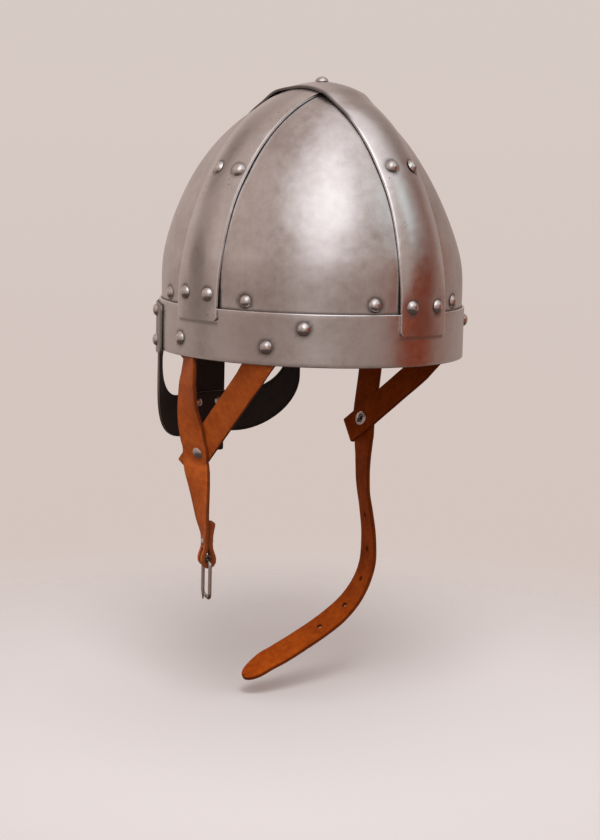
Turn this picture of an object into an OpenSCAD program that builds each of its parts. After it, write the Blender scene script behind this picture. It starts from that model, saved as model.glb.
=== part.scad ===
// Four-plate riveted helmet with a spectacle face guard, leather lining and a buckled chin strap.
// Millimetres. +Z is up, -Y is the face, +X is the wearer's left.
// The origin is the centre of the rim, at the height of the brow band's lower edge.

/* [Skull] */
// Half of the brow band's outside length, front to back
brow_half_length = 112; // [106:1:118]
// Half of the brow band's outside width
brow_half_width = 102.5; // [97:0.5:108]
// Height of the brow band
brow_height = 35; // [32:1:38]
// Thickness of every steel sheet in the skull
sheet = 1.6; // [1.2:0.1:2]
// Height of the skull plates' peak above the rim
peak_height = 181.5; // [170:1:195]
// Height at which the skull starts to close in
spring_height = 34; // [30:1:36]
// Sharpness of the peak: 2 is a round dome, less is pointed
peak_power = 1.8; // [1.6:0.05:2]
// How far the peak leans behind the middle
peak_back = 8; // [0:1:12]
// Height of the plates' lower edge above the rim
plate_foot = 3; // [1:0.5:6]
// Gap left between two plates along a band's middle, in degrees each side
plate_seam = 1; // [0.8:0.1:2]
// Radius of the hole that the plates leave at the peak
plate_eye = 9; // [7:1:12]

/* [Crossing bands] */
// Half width of a band
band_half = 20; // [18:0.5:22]
// Half width of the raised rib along a band
rib_half = 13; // [11:0.5:15]
// Height of the rib
rib_height = 3.2; // [2:0.2:4]
// Height of a band's foot above the rim
band_foot = 22; // [20:0.5:24]
// Corner cut off each foot of a band
foot_corner = 2.5; // [1:0.5:4]
// Half width of the flat crossing where a band lies on the other
crossing_half = 27; // [25:1:32]
// How far the cross band bows towards the back half way up
cross_bow = 6; // [0:0.5:8]

/* [Rivets] */
// Radius of a domed rivet head
head_r = 4; // [3.5:0.1:4.5]
// Height of a domed rivet head
head_h = 2.9; // [2.4:0.1:3.4]
// Radius of a rivet shank
shank_r = 1.9; // [1.6:0.1:2.2]
// Radius of a clenched tail
tail_r = 3.1; // [2.8:0.1:3.5]
// Thickness of a clenched tail
tail_h = 1; // [0.8:0.1:1.4]
// Height above the rim of the pairs at the feet of the cross band
cross_row = 44; // [42:0.5:46]
// Height above the rim of the pairs at the feet of the long band
long_row = 40.5; // [40:0.5:44]
// Distance between the two rivets of such a pair
foot_pair = 22.6; // [20:0.2:24]
// Distance from a band's middle to the middle of such a pair
foot_pair_shift = 2.2; // [0:0.2:3]
// Height above the rim of the rivets in the plates, just over the brow band
plate_row = 41; // [40:0.5:44]
// Angle from a band's middle to the nearest plate rivet
plate_rivet_angle = 21; // [20:0.5:25]
// Angle along the skull's curve of the pairs half way up the bands
mid_row_angle = 39.5; // [36:0.5:44]
// Distance between the two rivets of such a pair
mid_pair = 18; // [16:0.5:22]
// Plan angle of the rivet in the left rear panel of the brow band, from the face
panel_left_angle = 133; // [128:1:140]
// Plan angle of the rivet in the right rear panel, measured the same way round
panel_right_angle = 225; // [220:1:232]
// Height of those two rivets above the rim
panel_rivet_height = 25; // [22:0.5:27]
// Height of the rivets that hold the chin straps
strap_rivet_height = 12; // [11:0.5:14]

/* [Face guard] */
// Thickness of the face guard
guard_sheet = 1.8; // [1.4:0.1:2.2]
// Height of the guard's end tabs above the rim
guard_tab_top = 32; // [29:0.5:33]
// Height of the guard's edge over the nose, under the long band's foot
guard_middle_top = 20; // [17:0.5:20.5]
// Depth of the guard's ends below the rim
guard_tab_drop = 3; // [2:0.5:6]
// Half width of the lower rims, seen from the front
guard_rim_half = 68; // [64:1:71]
// Depth of the lower rims below the rim
guard_depth = 73.5; // [70:0.5:78]
// Radius of the lower rims' outer corners
guard_corner = 42; // [34:1:44]
// Half width of the opening for both eyes
eye_half = 60; // [56:1:61]
// Depth of the eye opening's upper edge below the rim
eye_top = 4; // [2:0.5:8]
// Depth of the eye opening's lower edge below the rim
eye_bottom = 42; // [39:0.5:45]
// Radius of the eye opening's lower corners
eye_corner = 28; // [18:1:29]
// Radius of the eye opening's upper corners
eye_upper_corner = 8; // [5:1:12]

/* [Nasal bar] */
// Half width of the nasal bar
nasal_half = 16.5; // [13:0.5:18]
// Thickness of the nasal bar
nasal_sheet = 2; // [1.6:0.1:2.6]
// Depth of the nasal bar's tip below the rim
nasal_tip = 88; // [82:1:92]
// Height of the nasal bar's upper end above the rim
nasal_top = 33; // [31:0.5:35]
// Depth below the rim of the rivets that hold the bar to the lower rims
nasal_rivet_depth = 50; // [48:0.5:56]
// Distance of those rivets from the bar's middle
nasal_rivet_spread = 9; // [8:0.5:10]

/* [Chin straps] */
// Width of a strap
strap_width = 22; // [20:0.5:24]
// Width of the rear straps
rear_strap_width = 20; // [18:0.5:22]
// Thickness of strap leather
strap_thick = 3; // [2.4:0.1:3.2]
// Depth below the rim at which a strap flexes
flex_depth = 4; // [3.6:0.2:6]
// Height of a strap's riveted end above the rim
tab_top = 21; // [19:0.5:22]
// Y of the left front strap where it leaves the rim
front_left_y = -13; // [-16:0.5:-10]
// Y of the left rear strap where it leaves the rim
rear_left_y = 44.5; // [42:0.5:48]
// Y of the right front strap where it leaves the rim
front_right_y = -33; // [-35:0.5:-29]
// Y of the right rear strap where it leaves the rim
rear_right_y = 38; // [35:0.5:42]
// How far the left front strap has set in a forward bow, half way to its yoke rivet
front_left_bow = 3.6; // [0:0.2:6]
// Distance of a yoke rivet from the middle plane
yoke_x = 79; // [76:0.5:82]
// Y of the yoke rivets
yoke_y = -26.5; // [-29:0.5:-24]
// Depth of the left yoke rivet below the rim
yoke_left_depth = 70; // [64:1:76]
// Depth of the right yoke rivet below the rim
yoke_right_depth = 57; // [52:1:62]
// Radius of the yoke rivets' washers
yoke_washer_r = 5.2; // [4.6:0.1:6]
// Radius of the bore through the tubular yoke rivets
yoke_bore_r = 1.6; // [1.2:0.1:2]
// Radius of a punched hole in the long tail
punch_r = 1.8; // [1.4:0.1:2.2]

/* [Buckle] */
// Radius of the buckle's wire
wire_r = 1.3; // [1.1:0.1:1.5]
// Distance between the middles of the buckle's side wires
buckle_width = 18.6; // [18:0.2:20]
// Distance between the middles of the buckle's bar and far end
buckle_length = 26; // [24:0.5:30]
// Radius of the buckle's corners at the wire's middle
buckle_corner = 3.4; // [3:0.2:4.5]
// Radius of the prong's wire
prong_r = 1; // [0.8:0.1:1.2]
// Distance of the buckle's bar from the left yoke rivet, measured down the strap
bar_drop = 77; // [74:1:80]
// Width of the strap's narrow end that folds round the buckle's bar
chape_width = 12; // [10:0.5:13]
// Width of the slot for the prong in that fold
slot_width = 4.6; // [4:0.2:5]

/* [Lining] */
// Thickness of the lining leather
liner_thick = 2; // [1.5:0.1:2.5]
// Height of the headband's lower edge above the rim
liner_foot = 32; // [30:0.5:34]
// Width of the headband
liner_width = 24; // [20:0.5:27]
// Radius of the ring in which the lace draws the tongues together
lace_ring_r = 27; // [24:0.5:32]
// Height of the lace above the rim
lace_height = 128; // [120:1:134]
// Radius of the lace
lace_r = 1.4; // [1:0.1:1.6]
// Width of a tongue where it leaves the headband
tongue_width = 58; // [50:1:62]
// Width of a tongue's tip
tongue_tip = 13; // [10:0.5:15]
// Length of tongue that overlaps the headband
tongue_lap = 7; // [5:0.5:7]
// Radius of the hem's hollow round the lace
hem_bore = 3; // [2:0.2:4]

/* [Hidden] */
$fn = 32;

// Clearances between pieces
fit = 0.1;
lap = 0.15;
seam_fit = 0.2;
rivet_fit = 0.1;
head_lift = 0.12;
// The bands are twisted between their feet and the peak, so the heads half way up need more room
mid_lift = 0.4;
// A flat tail or washer stands this far off the curved piece that it bears on
tail_fit = 0.35;
washer_fit = 0.55;
// The plates lean outwards where they swell over the brow band, and the lining inside is upright.
// A plate rivet stands half way between the two, so its head needs a little more room.
plate_lift = 0.4;

// Depths of the layers, measured inwards from the brow band's outside
plate_out = -(sheet + fit);
plate_in = plate_out - sheet;
tab_out = plate_in - seam_fit;
tab_mid = tab_out - strap_thick / 2;
tab_in = tab_out - strap_thick;
liner_out = plate_in - seam_fit;
liner_in = liner_out - liner_thick;
// Heights of the layers outside the brow band
band_out = lap + sheet;
guard_out = lap + guard_sheet;
nasal_in = max(band_out, guard_out) + lap;
nasal_out = nasal_in + nasal_sheet;
// The skull plates swell back out over this height above the brow band
swell = 16;
steel = [0.66, 0.63, 0.61];
dark_steel = [0.24, 0.22, 0.21];
leather = [0.62, 0.30, 0.12];
dark_leather = [0.40, 0.22, 0.12];

// Vector helpers
function unit(v) = v / norm(v);
function smooth(x) = x <= 0 ? 0 : x >= 1 ? 1 : x * x * (3 - 2 * x);
function rise(z) = z <= spring_height ? 0 : min(1, (z - spring_height) / (peak_height - spring_height));
// Share of the plan's size that is left at height z, and the shift of its centre
function shrink(z) = pow(1 - pow(rise(z), 2), 1 / peak_power);
function lean(z) = peak_back * pow(rise(z), 3);
// Point of the skull's reference surface at plan angle a (0 at the face, 90 at the wearer's left)
function skull(a, z) = [
    brow_half_width * shrink(z) * sin(a),
    lean(z) - brow_half_length * shrink(z) * cos(a),
    z];
// Outward normal of that surface at one of its points
function skull_slope(p) =
    let (span = peak_height - spring_height, u = rise(p[2]), left = 1 - u * u)
    [2 * p[0] / pow(brow_half_width, 2),
     2 * (p[1] - lean(p[2])) / pow(brow_half_length, 2),
     p[2] <= spring_height ? 0
       : 4 * u / (peak_power * span) * pow(max(left, 0.000001), 2 / peak_power - 1)
         - 2 * (p[1] - lean(p[2])) / pow(brow_half_length, 2) * 3 * peak_back * u * u / span];
function normal_at(p) = unit(skull_slope(p));
function skin(a, z, off) = skull(a, z) + off * normal_at(skull(a, z));
// How far the plates are drawn in behind the brow band at height z
function tuck(z) = plate_out * (1 - smooth((z - brow_height) / swell));

// Turns +Z to the direction n and moves the origin to p
module at(p, n) {
    translate(p) rotate([0, acos(n[2]), atan2(n[1], n[0])]) children();
}

// Loft through rings of points, closed at both ends. Every ring has the same number of points.
module loft(rings) {
    n = len(rings[0]);
    m = len(rings);
    points = [for (r = rings) each r];
    faces = [
        [for (i = [n - 1:-1:0]) i],
        for (j = [0:m - 2]) for (i = [0:n - 1])
            let (a = j * n + i, b = j * n + (i + 1) % n) [a, b, b + n],
        for (j = [0:m - 2]) for (i = [0:n - 1])
            let (a = j * n + i, b = j * n + (i + 1) % n) [a, b + n, a + n],
        [for (i = [0:n - 1]) (m - 1) * n + i]
    ];
    polyhedron(points, faces, convexity = 6);
}

// Sheet between two grids of points with the same rows and columns
module sheet_between(outer, inner) {
    rows = len(outer);
    cols = len(outer[0]);
    k = rows * cols;
    points = [for (r = outer) each r, for (r = inner) each r];
    function at_grid(j, i) = j * cols + i;
    faces = [
        for (j = [0:rows - 2]) for (i = [0:cols - 2])
            let (a = at_grid(j, i), b = a + 1, c = a + cols, d = c + 1)
            each [[a, b, d], [a, d, c], [k + a, k + d, k + b], [k + a, k + c, k + d]],
        for (j = [0:rows - 2])
            let (a = at_grid(j, 0), c = a + cols, b = at_grid(j, cols - 1), d = b + cols)
            each [[a, c, k + c], [a, k + c, k + a], [b, k + d, d], [b, k + b, k + d]],
        for (i = [0:cols - 2])
            let (a = i, b = i + 1, c = at_grid(rows - 1, i), d = c + 1)
            each [[a, k + b, b], [a, k + a, k + b], [c, d, k + d], [c, k + d, k + c]]
    ];
    polyhedron(points, faces, convexity = 8);
}

// Oval outline of the brow, moved in or out by off
function oval(off, steps = 96) = [for (i = [0:steps - 1]) let (a = 360 * i / steps)
    [(brow_half_width + off) * sin(a), -(brow_half_length + off) * cos(a)]];
module oval_ring(low, high, off_in, off_out) {
    translate([0, 0, low]) linear_extrude(high - low) difference() {
        polygon(oval(off_out));
        polygon(oval(off_in));
    }
}

// Rivet along +Z with its head's underside at z = 0 and its clenched tail below the grip
module rivet(grip, radius = head_r, height = head_h, shank = shank_r, tail = tail_r) {
    dome = (radius * radius + height * height) / (2 * height);
    rotate_extrude() union() {
        intersection() {
            translate([0, height - dome]) circle(dome, $fn = 64);
            square([radius, height]);
        }
        translate([0, -grip - tail_h]) square([shank, grip + tail_h + height / 2]);
        translate([0, -grip - tail_h]) square([tail, tail_h]);
    }
}
module rivet_hole(grip, shank = shank_r) {
    translate([0, 0, -grip - 2 * tail_h]) cylinder(r = shank + rivet_fit, h = grip + 4 * tail_h);
}

// On a band, side is 0 front, 90 left, 180 back, 270 right, and s is measured across the band
function band_cross(side) = side % 180 == 0 ? [1, 0, 0] : [0, 1, 0];
// Slides a point along a direction until it lies on the reference surface
function drop_on(p, dir, n = 7) = n == 0 ? p
    : let (g = pow(p[0] / brow_half_width, 2) + pow((p[1] - lean(p[2])) / brow_half_length, 2)
               - pow(shrink(p[2]), 2))
      drop_on(p - dir * g / (skull_slope(p) * dir), dir, n - 1);
function bow(side, z) = side % 180 == 0 ? 0 : cross_bow * pow(sin(2 * asin(rise(z))), 2);
function on_band(side, z, s) = let (c = skull(side, z))
    drop_on(c + (s + bow(side, z)) * band_cross(side), normal_at(c));
// Height of the skull at an angle along its curve
function curve_height(f) = spring_height + (peak_height - spring_height) * sin(f);

// A band from foot to foot over the peak, as rows of points across it
band_rows = 20;
band_cols = 12;
band_heights = [band_foot, band_foot + foot_corner, brow_height,
    for (i = [1:band_rows]) curve_height(90 * i / band_rows)];
crown_lap = 0.2;
crossing_gap = 0.4;
rib_fade = 12;
function band_width_at(z) = band_half - max(0, foot_corner - (z - band_foot));
function from_peak(side, z) = brow_span(side) * shrink(z);
function brow_span(side) = side % 180 == 0 ? brow_half_length : brow_half_width;
// The rib dies out at the foot, at the pair of rivets half way up and at the crossing
function rib_along(side, z) =
    let (f = asin(rise(z)), d = from_peak(side, z))
    rib_height * smooth((z - cross_row - head_r) / rib_fade)
    * (1 - exp(-pow((f - mid_row_angle) / 5, 2)))
    * smooth((d - crossing_half) / rib_fade);
function rib_across(s) = abs(s) >= rib_half ? 0 : pow(cos(90 * s / rib_half), 2);
function band_base(side, z, lifted) =
    let (d = from_peak(side, z))
    lap + crown_lap * (1 - smooth((d - crossing_half) / 30))
    + (lifted ? (sheet + crossing_gap) * (1 - smooth((d - band_half - 2) / 18)) : 0);
function band_row(side, z, lifted, extra) = [for (i = [0:band_cols])
    let (s = band_width_at(z) * (2 * i / band_cols - 1) * (side % 180 == 0 ? 1 : -1),
         p = on_band(side, z, s))
    p + normal_at(p) * (band_base(side, z, lifted) + rib_along(side, z) * rib_across(s) + extra)];
function band_grid(side, lifted, extra) = concat(
    [for (z = band_heights) band_row(side, z, lifted, extra)],
    [for (i = [len(band_heights) - 2:-1:0]) band_row(side + 180, band_heights[i], lifted, extra)]);
module band(side, lifted) {
    sheet_between(band_grid(side, lifted, sheet), band_grid(side, lifted, 0));
}

// Skull plate of the quarter that starts at plan angle start
plate_cols = 12;
plate_rows = 14;
plate_end = acos(pow(plate_eye / brow_half_width, peak_power / 2));
plate_heights = [plate_foot, brow_height,
    for (i = [1:3]) brow_height + swell * i / 3,
    for (i = [1:plate_rows]) curve_height(8 + (plate_end - 8) * i / plate_rows)];
function plate_grid(start, off) = [for (z = plate_heights) [for (i = [0:plate_cols])
    let (a = start + 90 - plate_seam - (90 - 2 * plate_seam) * i / plate_cols,
         p = skull(a, z))
    p + normal_at(p) * (tuck(z) + off)]];
module plate(start) {
    color(steel) difference() {
        sheet_between(plate_grid(start, 0), plate_grid(start, -sheet));
        skull_rivet_holes(start + 45);
    }
}

// Rivet places. Each is [point on the reference surface, direction, head height off it, grip]
mid_height = curve_height(mid_row_angle);
washer_h = 0.8;
washer_r = 4.6;
grip_band = band_out + mid_lift + sheet + tail_fit;
grip_liner = -liner_in + washer_fit + washer_h + head_lift;
grip_band_liner = band_out + head_lift + grip_liner;
grip_plate_liner = plate_lift + tuck(plate_row) + grip_liner;
grip_brow = head_lift - plate_in + tail_fit;
grip_strap = head_lift - tab_in + tail_fit + washer_h + head_lift;
sides = [0, 90, 180, 270];
mid_places = [for (side = sides) for (k = [-1, 1])
    let (p = on_band(side, mid_height, k * mid_pair / 2)) [p, normal_at(p)]];
low_places = [for (side = sides) for (k = [-1, 1])
    let (p = on_band(side, side % 180 == 0 ? long_row : cross_row, foot_pair_shift + k * foot_pair / 2))
    [p, normal_at(p)]];
// Outward direction of the swelling part of a plate
function plate_lean(a, z) = let (e = swell / 6,
    up = skin(a, z + e, tuck(z + e)) - skin(a, z - e, tuck(z - e)),
    along = skin(a + 1, z, tuck(z)) - skin(a - 1, z, tuck(z))) unit(cross(along, up));
plate_places = [for (side = sides) for (k = [-1, 1]) let (a = side + k * plate_rivet_angle)
    [skin(a, plate_row, tuck(plate_row)), unit(plate_lean(a, plate_row) + normal_at(skull(a, 0)))]];
panel_places = [for (a = [panel_left_angle, panel_right_angle])
    [skull(a, panel_rivet_height), normal_at(skull(a, 0))]];

// Plan angle of the reference oval at a given y
function angle_at(y) = acos(-y / brow_half_length);
function tab_x(y) = (brow_half_width + tab_mid) * sqrt(1 - pow(y / (brow_half_length + tab_mid), 2));
front_y = [front_left_y, front_right_y];
rear_y = [rear_left_y, rear_right_y];
// Each tab: [side sign, y at the flex line, y at the strap rivet, width]
front_rake = [-6, -4];
rear_rake = [11, 9];
tabs = [for (i = [0, 1])
    each [[i == 0 ? 1 : -1, front_y[i], front_y[i] + front_rake[i], strap_width],
          [i == 0 ? 1 : -1, rear_y[i], rear_y[i] + rear_rake[i], rear_strap_width]]];
strap_places = [for (t = tabs) let (p = skull(t[0] * angle_at(t[2]), strap_rivet_height))
    [p, normal_at(p)]];
guard_end_angle = 61;
guard_rivet_angle = 55.5;
guard_rivet_heights = [6, guard_tab_top - 5];
guard_places = [for (k = [-1, 1]) for (z = guard_rivet_heights)
    let (p = skull(k * guard_rivet_angle, z)) [p, normal_at(p)]];
nasal_upper_heights = [9, nasal_top - 5.5];
nasal_upper = [for (z = nasal_upper_heights) [skull(0, z), [0, -1, 0]]];
function nose_angle(x) = asin(x / brow_half_width);
nasal_lower = [for (k = [-1, 1])
    let (p = skull(nose_angle(k * nasal_rivet_spread), -nasal_rivet_depth)) [p, normal_at(p)]];

module at_places(list, off) {
    for (q = list) at(q[0] + q[1] * off, q[1]) children();
}
module holes_at(list, off, grip) {
    at_places(list, off) rivet_hole(grip);
}
// Only the holes near the quarter whose middle is at plan angle middle
function near(list, middle) = [for (q = list) if (q[0] * [sin(middle), -cos(middle), 0] > 35) q];
module skull_rivet_holes(middle) {
    holes_at(near(mid_places, middle), band_out, grip_band);
    holes_at(near(low_places, middle), band_out, grip_band_liner);
    holes_at(near(plate_places, middle), 0, grip_plate_liner);
    holes_at(near(panel_places, middle), 0, -plate_in);
    holes_at(near(strap_places, middle), 0, grip_strap);
    holes_at(near(guard_places, middle), guard_out, guard_out - plate_in);
    holes_at(near(nasal_upper, middle), nasal_out, nasal_out - plate_in);
}

module brow_band() {
    color(steel) difference() {
        oval_ring(0, brow_height, -sheet, 0);
        holes_at(panel_places, 0, -plate_in);
        holes_at(strap_places, 0, -tab_in);
        holes_at(guard_places, guard_out, guard_out - plate_in);
        holes_at(nasal_upper, nasal_out, nasal_out - plate_in);
    }
}
module plate_front_left() { plate(0); }
module plate_back_left() { plate(90); }
module plate_back_right() { plate(180); }
module plate_front_right() { plate(270); }

module long_band() {
    color(steel) difference() {
        band(180, true);
        for (m = [0, 180]) {
            holes_at(on_side(mid_places, m), band_out, grip_band);
            holes_at(on_side(low_places, m), band_out, grip_band_liner);
        }
        holes_at([nasal_upper[1]], nasal_out, nasal_out - plate_in);
        apex_hole();
    }
}
module cross_band() {
    color(steel) difference() {
        band(90, false);
        for (m = [90, 270]) {
            holes_at(on_side(mid_places, m), band_out, grip_band);
            holes_at(on_side(low_places, m), band_out, grip_band_liner);
        }
        apex_hole();
    }
}
// Only the places within a band's half width of the meridian at plan angle m
function on_side(list, m) = [for (q = list)
    if (abs(q[0] * band_cross(m)) < band_half && q[0] * [sin(m), -cos(m), 0] > 0) q];

// Rivets
apex_base = lap + crown_lap + sheet + crossing_gap + sheet;
module apex_hole() {
    translate([0, peak_back, peak_height + apex_base]) rivet_hole(2 * apex_base);
}
module apex_rivet() {
    color(steel) at([0, peak_back, peak_height + apex_base + head_lift], [0, 0, 1])
        rivet(apex_base + head_lift, radius = 4.8, height = 3.4);
}
module band_rivets_upper() {
    color(steel) at_places(mid_places, band_out + mid_lift) rivet(grip_band);
}
module band_rivets_lower() {
    color(steel) at_places(low_places, band_out + head_lift) rivet(grip_band_liner);
}
module plate_rivets() {
    color(steel) at_places(plate_places, plate_lift) rivet(grip_plate_liner);
}
module brow_rivets() {
    color(steel) at_places(panel_places, head_lift) rivet(grip_brow);
}
module strap_rivets() {
    color(steel) at_places(strap_places, head_lift) rivet(grip_strap);
}
module face_guard_rivets() {
    color(steel) at_places(guard_places, guard_out + head_lift) rivet(guard_out + grip_brow);
}
module nasal_rivets() {
    color(steel) {
        at_places(nasal_upper, nasal_out + head_lift) rivet(nasal_out + grip_brow);
        at_places(nasal_lower, nasal_out + head_lift)
            rivet(nasal_out + 2 * head_lift - lap, radius = 3, height = 2);
    }
}

// Face guard, drawn from the front and bent round the brow
module front_view(reach = 200) {
    rotate([90, 0, 0]) linear_extrude(reach) children();
}
// Points on an arc about c, from one angle to another
function arc(c, r, from, to, n = 12) = [for (i = [0:n])
    let (a = from + (to - from) * i / n) c + r * [cos(a), sin(a)]];
function brow_line(x) = guard_middle_top
    + (guard_tab_top - guard_middle_top) * smooth((abs(x) - band_half) / 28);
brow_steps = 40;
guard_reach = brow_half_width + 9;
module guard_outline() {
    low = guard_corner - guard_depth;
    side = guard_rim_half - guard_corner;
    polygon(concat(
        [for (i = [0:brow_steps]) let (x = guard_reach * (2 * i / brow_steps - 1)) [x, brow_line(x)]],
        [[guard_reach, -guard_tab_drop], [guard_rim_half, -guard_tab_drop]],
        arc([side, low], guard_corner, 0, -90),
        arc([-side, low], guard_corner, -90, -180),
        [[-guard_rim_half, -guard_tab_drop], [-guard_reach, -guard_tab_drop]]));
}
module eye_opening() {
    upper = eye_upper_corner;
    lower = min(eye_corner, eye_bottom - eye_top - upper - 1);
    polygon(concat(
        arc([eye_half - upper, -eye_top - upper], upper, 90, 0),
        arc([eye_half - lower, lower - eye_bottom], lower, 0, -90),
        arc([lower - eye_half, lower - eye_bottom], lower, -90, -180),
        arc([upper - eye_half, -eye_top - upper], upper, 180, 90)));
}
module guard_sector() {
    far = 2 * brow_half_length;
    linear_extrude(4 * guard_depth, center = true) polygon([[0, 0],
        [-far * sin(guard_end_angle), -far * cos(guard_end_angle)], [-far, -far], [far, -far],
        [far * sin(guard_end_angle), -far * cos(guard_end_angle)]]);
}
module face_guard() {
    color(dark_steel) difference() {
        intersection() {
            oval_ring(-guard_depth - 1, guard_tab_top + 1, lap, guard_out);
            guard_sector();
            front_view() difference() {
                guard_outline();
                eye_opening();
            }
        }
        holes_at(guard_places, guard_out, guard_out - plate_in);
        holes_at([nasal_upper[0]], nasal_out, nasal_out - plate_in);
        holes_at(nasal_lower, nasal_out, nasal_out);
    }
}
nasal_chamfer = 1;
nasal_shoulder = 4;
module nasal_bar() {
    color(dark_steel) difference() {
        intersection() {
            oval_ring(-nasal_tip - 1, nasal_top + 1, nasal_in, nasal_out);
            front_view() polygon([[-nasal_half + nasal_chamfer, -nasal_tip],
                [nasal_half - nasal_chamfer, -nasal_tip],
                [nasal_half, -nasal_tip + nasal_chamfer],
                [nasal_half, nasal_top - nasal_shoulder],
                [nasal_half - nasal_shoulder, nasal_top],
                [-nasal_half + nasal_shoulder, nasal_top],
                [-nasal_half, nasal_top - nasal_shoulder],
                [-nasal_half, -nasal_tip + nasal_chamfer]]);
        }
        holes_at(nasal_upper, nasal_out, nasal_out - plate_in);
        holes_at(nasal_lower, nasal_out, nasal_out);
    }
}

// Riveted upper ends of the chin straps, bent to the inside of the plates
tab_gap = 0.4;
tab_foot = -flex_depth + strap_thick / 2 + tab_gap;
module tab_outline(t) {
    lean_run = (t[2] - t[1]) / (strap_rivet_height + flex_depth);
    half = t[3] / 2 * sqrt(1 + lean_run * lean_run);
    function mid(z) = t[1] + lean_run * (z + flex_depth);
    polygon([[mid(tab_foot) - half, tab_foot], [mid(tab_foot) + half, tab_foot],
        [mid(tab_top) + half, tab_top], [mid(tab_top) - half, tab_top]]);
}
module strap_tabs() {
    color(leather) difference() {
        for (t = tabs) intersection() {
            oval_ring(tab_foot - 1, tab_top + 1, tab_in, tab_out);
            mirror([t[0] > 0 ? 0 : 1, 0, 0]) rotate([90, 0, 90]) linear_extrude(200) tab_outline(t);
        }
        holes_at(strap_places, 0, -tab_in);
    }
}

// The hanging straps. The two straps of a side lie in one plane through the line on which
// they flex and the yoke rivet, the front strap outside and the rear strap inside.
// Everything here takes k = 1 for the left side and k = -1 for the right.
function of_side(k, left, right) = k > 0 ? left : right;
function flex_point(k, y) = [k * tab_x(y), y, -flex_depth];
function front_flex(k) = flex_point(k, of_side(k, front_left_y, front_right_y));
function rear_flex(k) = flex_point(k, of_side(k, rear_left_y, rear_right_y));
function flex_line(k) = unit(rear_flex(k) - front_flex(k));
function yoke(k) = [k * yoke_x, yoke_y, -of_side(k, yoke_left_depth, yoke_right_depth)];
function outward(k) = k * unit(cross(yoke(k) - front_flex(k), flex_line(k)));
layer = (strap_thick + lap) / 2;

// One station of a strap: [middle, direction across, outward direction, half width, half thickness]
function station(c, across, out, half, ht = strap_thick / 2) = [c, across, out, half, ht];
function ring(q) = [
    q[0] + q[1] * q[3] + q[2] * q[4], q[0] - q[1] * q[3] + q[2] * q[4],
    q[0] - q[1] * q[3] - q[2] * q[4], q[0] + q[1] * q[3] - q[2] * q[4]];
// side is 1 or -1 and keeps the faces outwards
module ribbon(stations, side) {
    rings = [for (q = stations) let (r = ring(q)) side > 0 ? r : [r[1], r[0], r[3], r[2]]];
    loft(rings);
}
// Rounded upper end of a hanging strap, from the flex line down a path in direction d
flex_round = [[0.96, 0.28], [0.7, 0.71], [0.3, 0.95], [0, 1]];
function flex_end(k, start, d, width) =
    let (a = flex_line(k), slant = norm(cross(a, d)))
    [for (f = flex_round) station(start - d * (f[0] * strap_thick / 2 / slant), a, outward(k),
        width / 2 / slant, f[1] * strap_thick / 2)];
// From the flex line the strap settles on its layer, off to one side of the shared plane, and
// runs straight to a point just over the yoke rivet. A strap that has set in a bow swings out
// sideways on the way, by the share that bow_at gives.
settle = 16;
bow_stops = [0.33, 0.46, 0.6, 0.75, 0.88];
function bow_at(u) = pow(max(0, sin(180 * u)), 1.5);
function strap_down(k, start, off, over, width, bow = 0) =
    let (n = outward(k), span = yoke(k) - start, d = unit(span), w = k * unit(cross(n, d)),
         stops = [settle / norm(span), each bow > 0 ? bow_stops : []])
    concat(flex_end(k, start, d, width),
        [for (u = stops)
            station(start + span * u + off * n - flex_line(k) * bow * bow_at(u), w, n, width / 2)],
        [if (bow > 0) station(yoke(k) + off * n - d * yoke_flat, w, n, width / 2)],
        [station(yoke(k) + off * n + d * over, w, n, width / 2)]);

// The rear straps end just past the yoke rivet
rear_over = 15;
module rear_strap(k) {
    color(leather) difference() {
        ribbon(strap_down(k, rear_flex(k), -layer, rear_over, rear_strap_width), -k);
        yoke_hole(k);
    }
}
module strap_rear_left() { rear_strap(1); }
module strap_rear_right() { rear_strap(-1); }

// Left front strap: down past the yoke rivet, narrowing to the fold round the buckle's bar
chape_turn = 24;
bar_out = [cos(chape_turn), -sin(chape_turn), 0];
bar_along = [sin(chape_turn), cos(chape_turn), 0];
down = [0, 0, -1];
tail_lean = [-0.12, 0.02, -1];
bar_mid = yoke(1) + bar_drop * unit(tail_lean);
bar_fit = 0.4;
fold_r = wire_r + bar_fit + strap_thick / 2;
slot_below = 6;
slot_above = 9;
loop_rivet_up = 13;
// The strap lies flat this far each side of the loop rivet and of a yoke rivet
loop_flat = 3.5;
yoke_flat = 6;
fold_end_up = 27;
narrow_from = 14;
narrow_to = 48;
module strap_front_left() {
    k = 1;
    n = outward(k);
    tail = unit(bar_mid + layer * bar_out - down * loop_rivet_up - yoke(k) - layer * n);
    w = unit(cross(n, tail));
    function in_fold(up, off) = bar_mid - down * up + off * bar_out;
    stations = concat(
        strap_down(k, front_flex(k), layer, yoke_flat, strap_width, front_left_bow),
        [station(yoke(k) + layer * n + tail * narrow_from, w, n, strap_width / 2),
         station(yoke(k) + layer * n + tail * narrow_to, unit(w + bar_along), unit(n + bar_out),
             chape_width / 2 + 1)],
        [for (e = [loop_flat, -loop_flat])
            station(in_fold(loop_rivet_up + e, layer), bar_along, bar_out, chape_width / 2)],
        [for (b = [0:30:180]) let (r = cos(b) * bar_out + sin(b) * down)
            station(bar_mid + fold_r * r, bar_along, r, chape_width / 2)],
        [for (e = [-loop_flat, loop_flat])
            station(in_fold(loop_rivet_up + e, -layer), bar_along, -bar_out, chape_width / 2)],
        [station(in_fold(fold_end_up, -2 * layer), bar_along, -bar_out, chape_width / 2)]);
    color(leather) difference() {
        ribbon(stations, -k);
        yoke_hole(k);
        at(bar_mid - down * loop_rivet_up + 10 * bar_out, bar_out) rivet_hole(20, shank = loop_shank_r);
        at_bar() translate([-10, -slot_width / 2, -slot_below])
            cube([20, slot_width, slot_below + slot_above]);
    }
}
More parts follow.
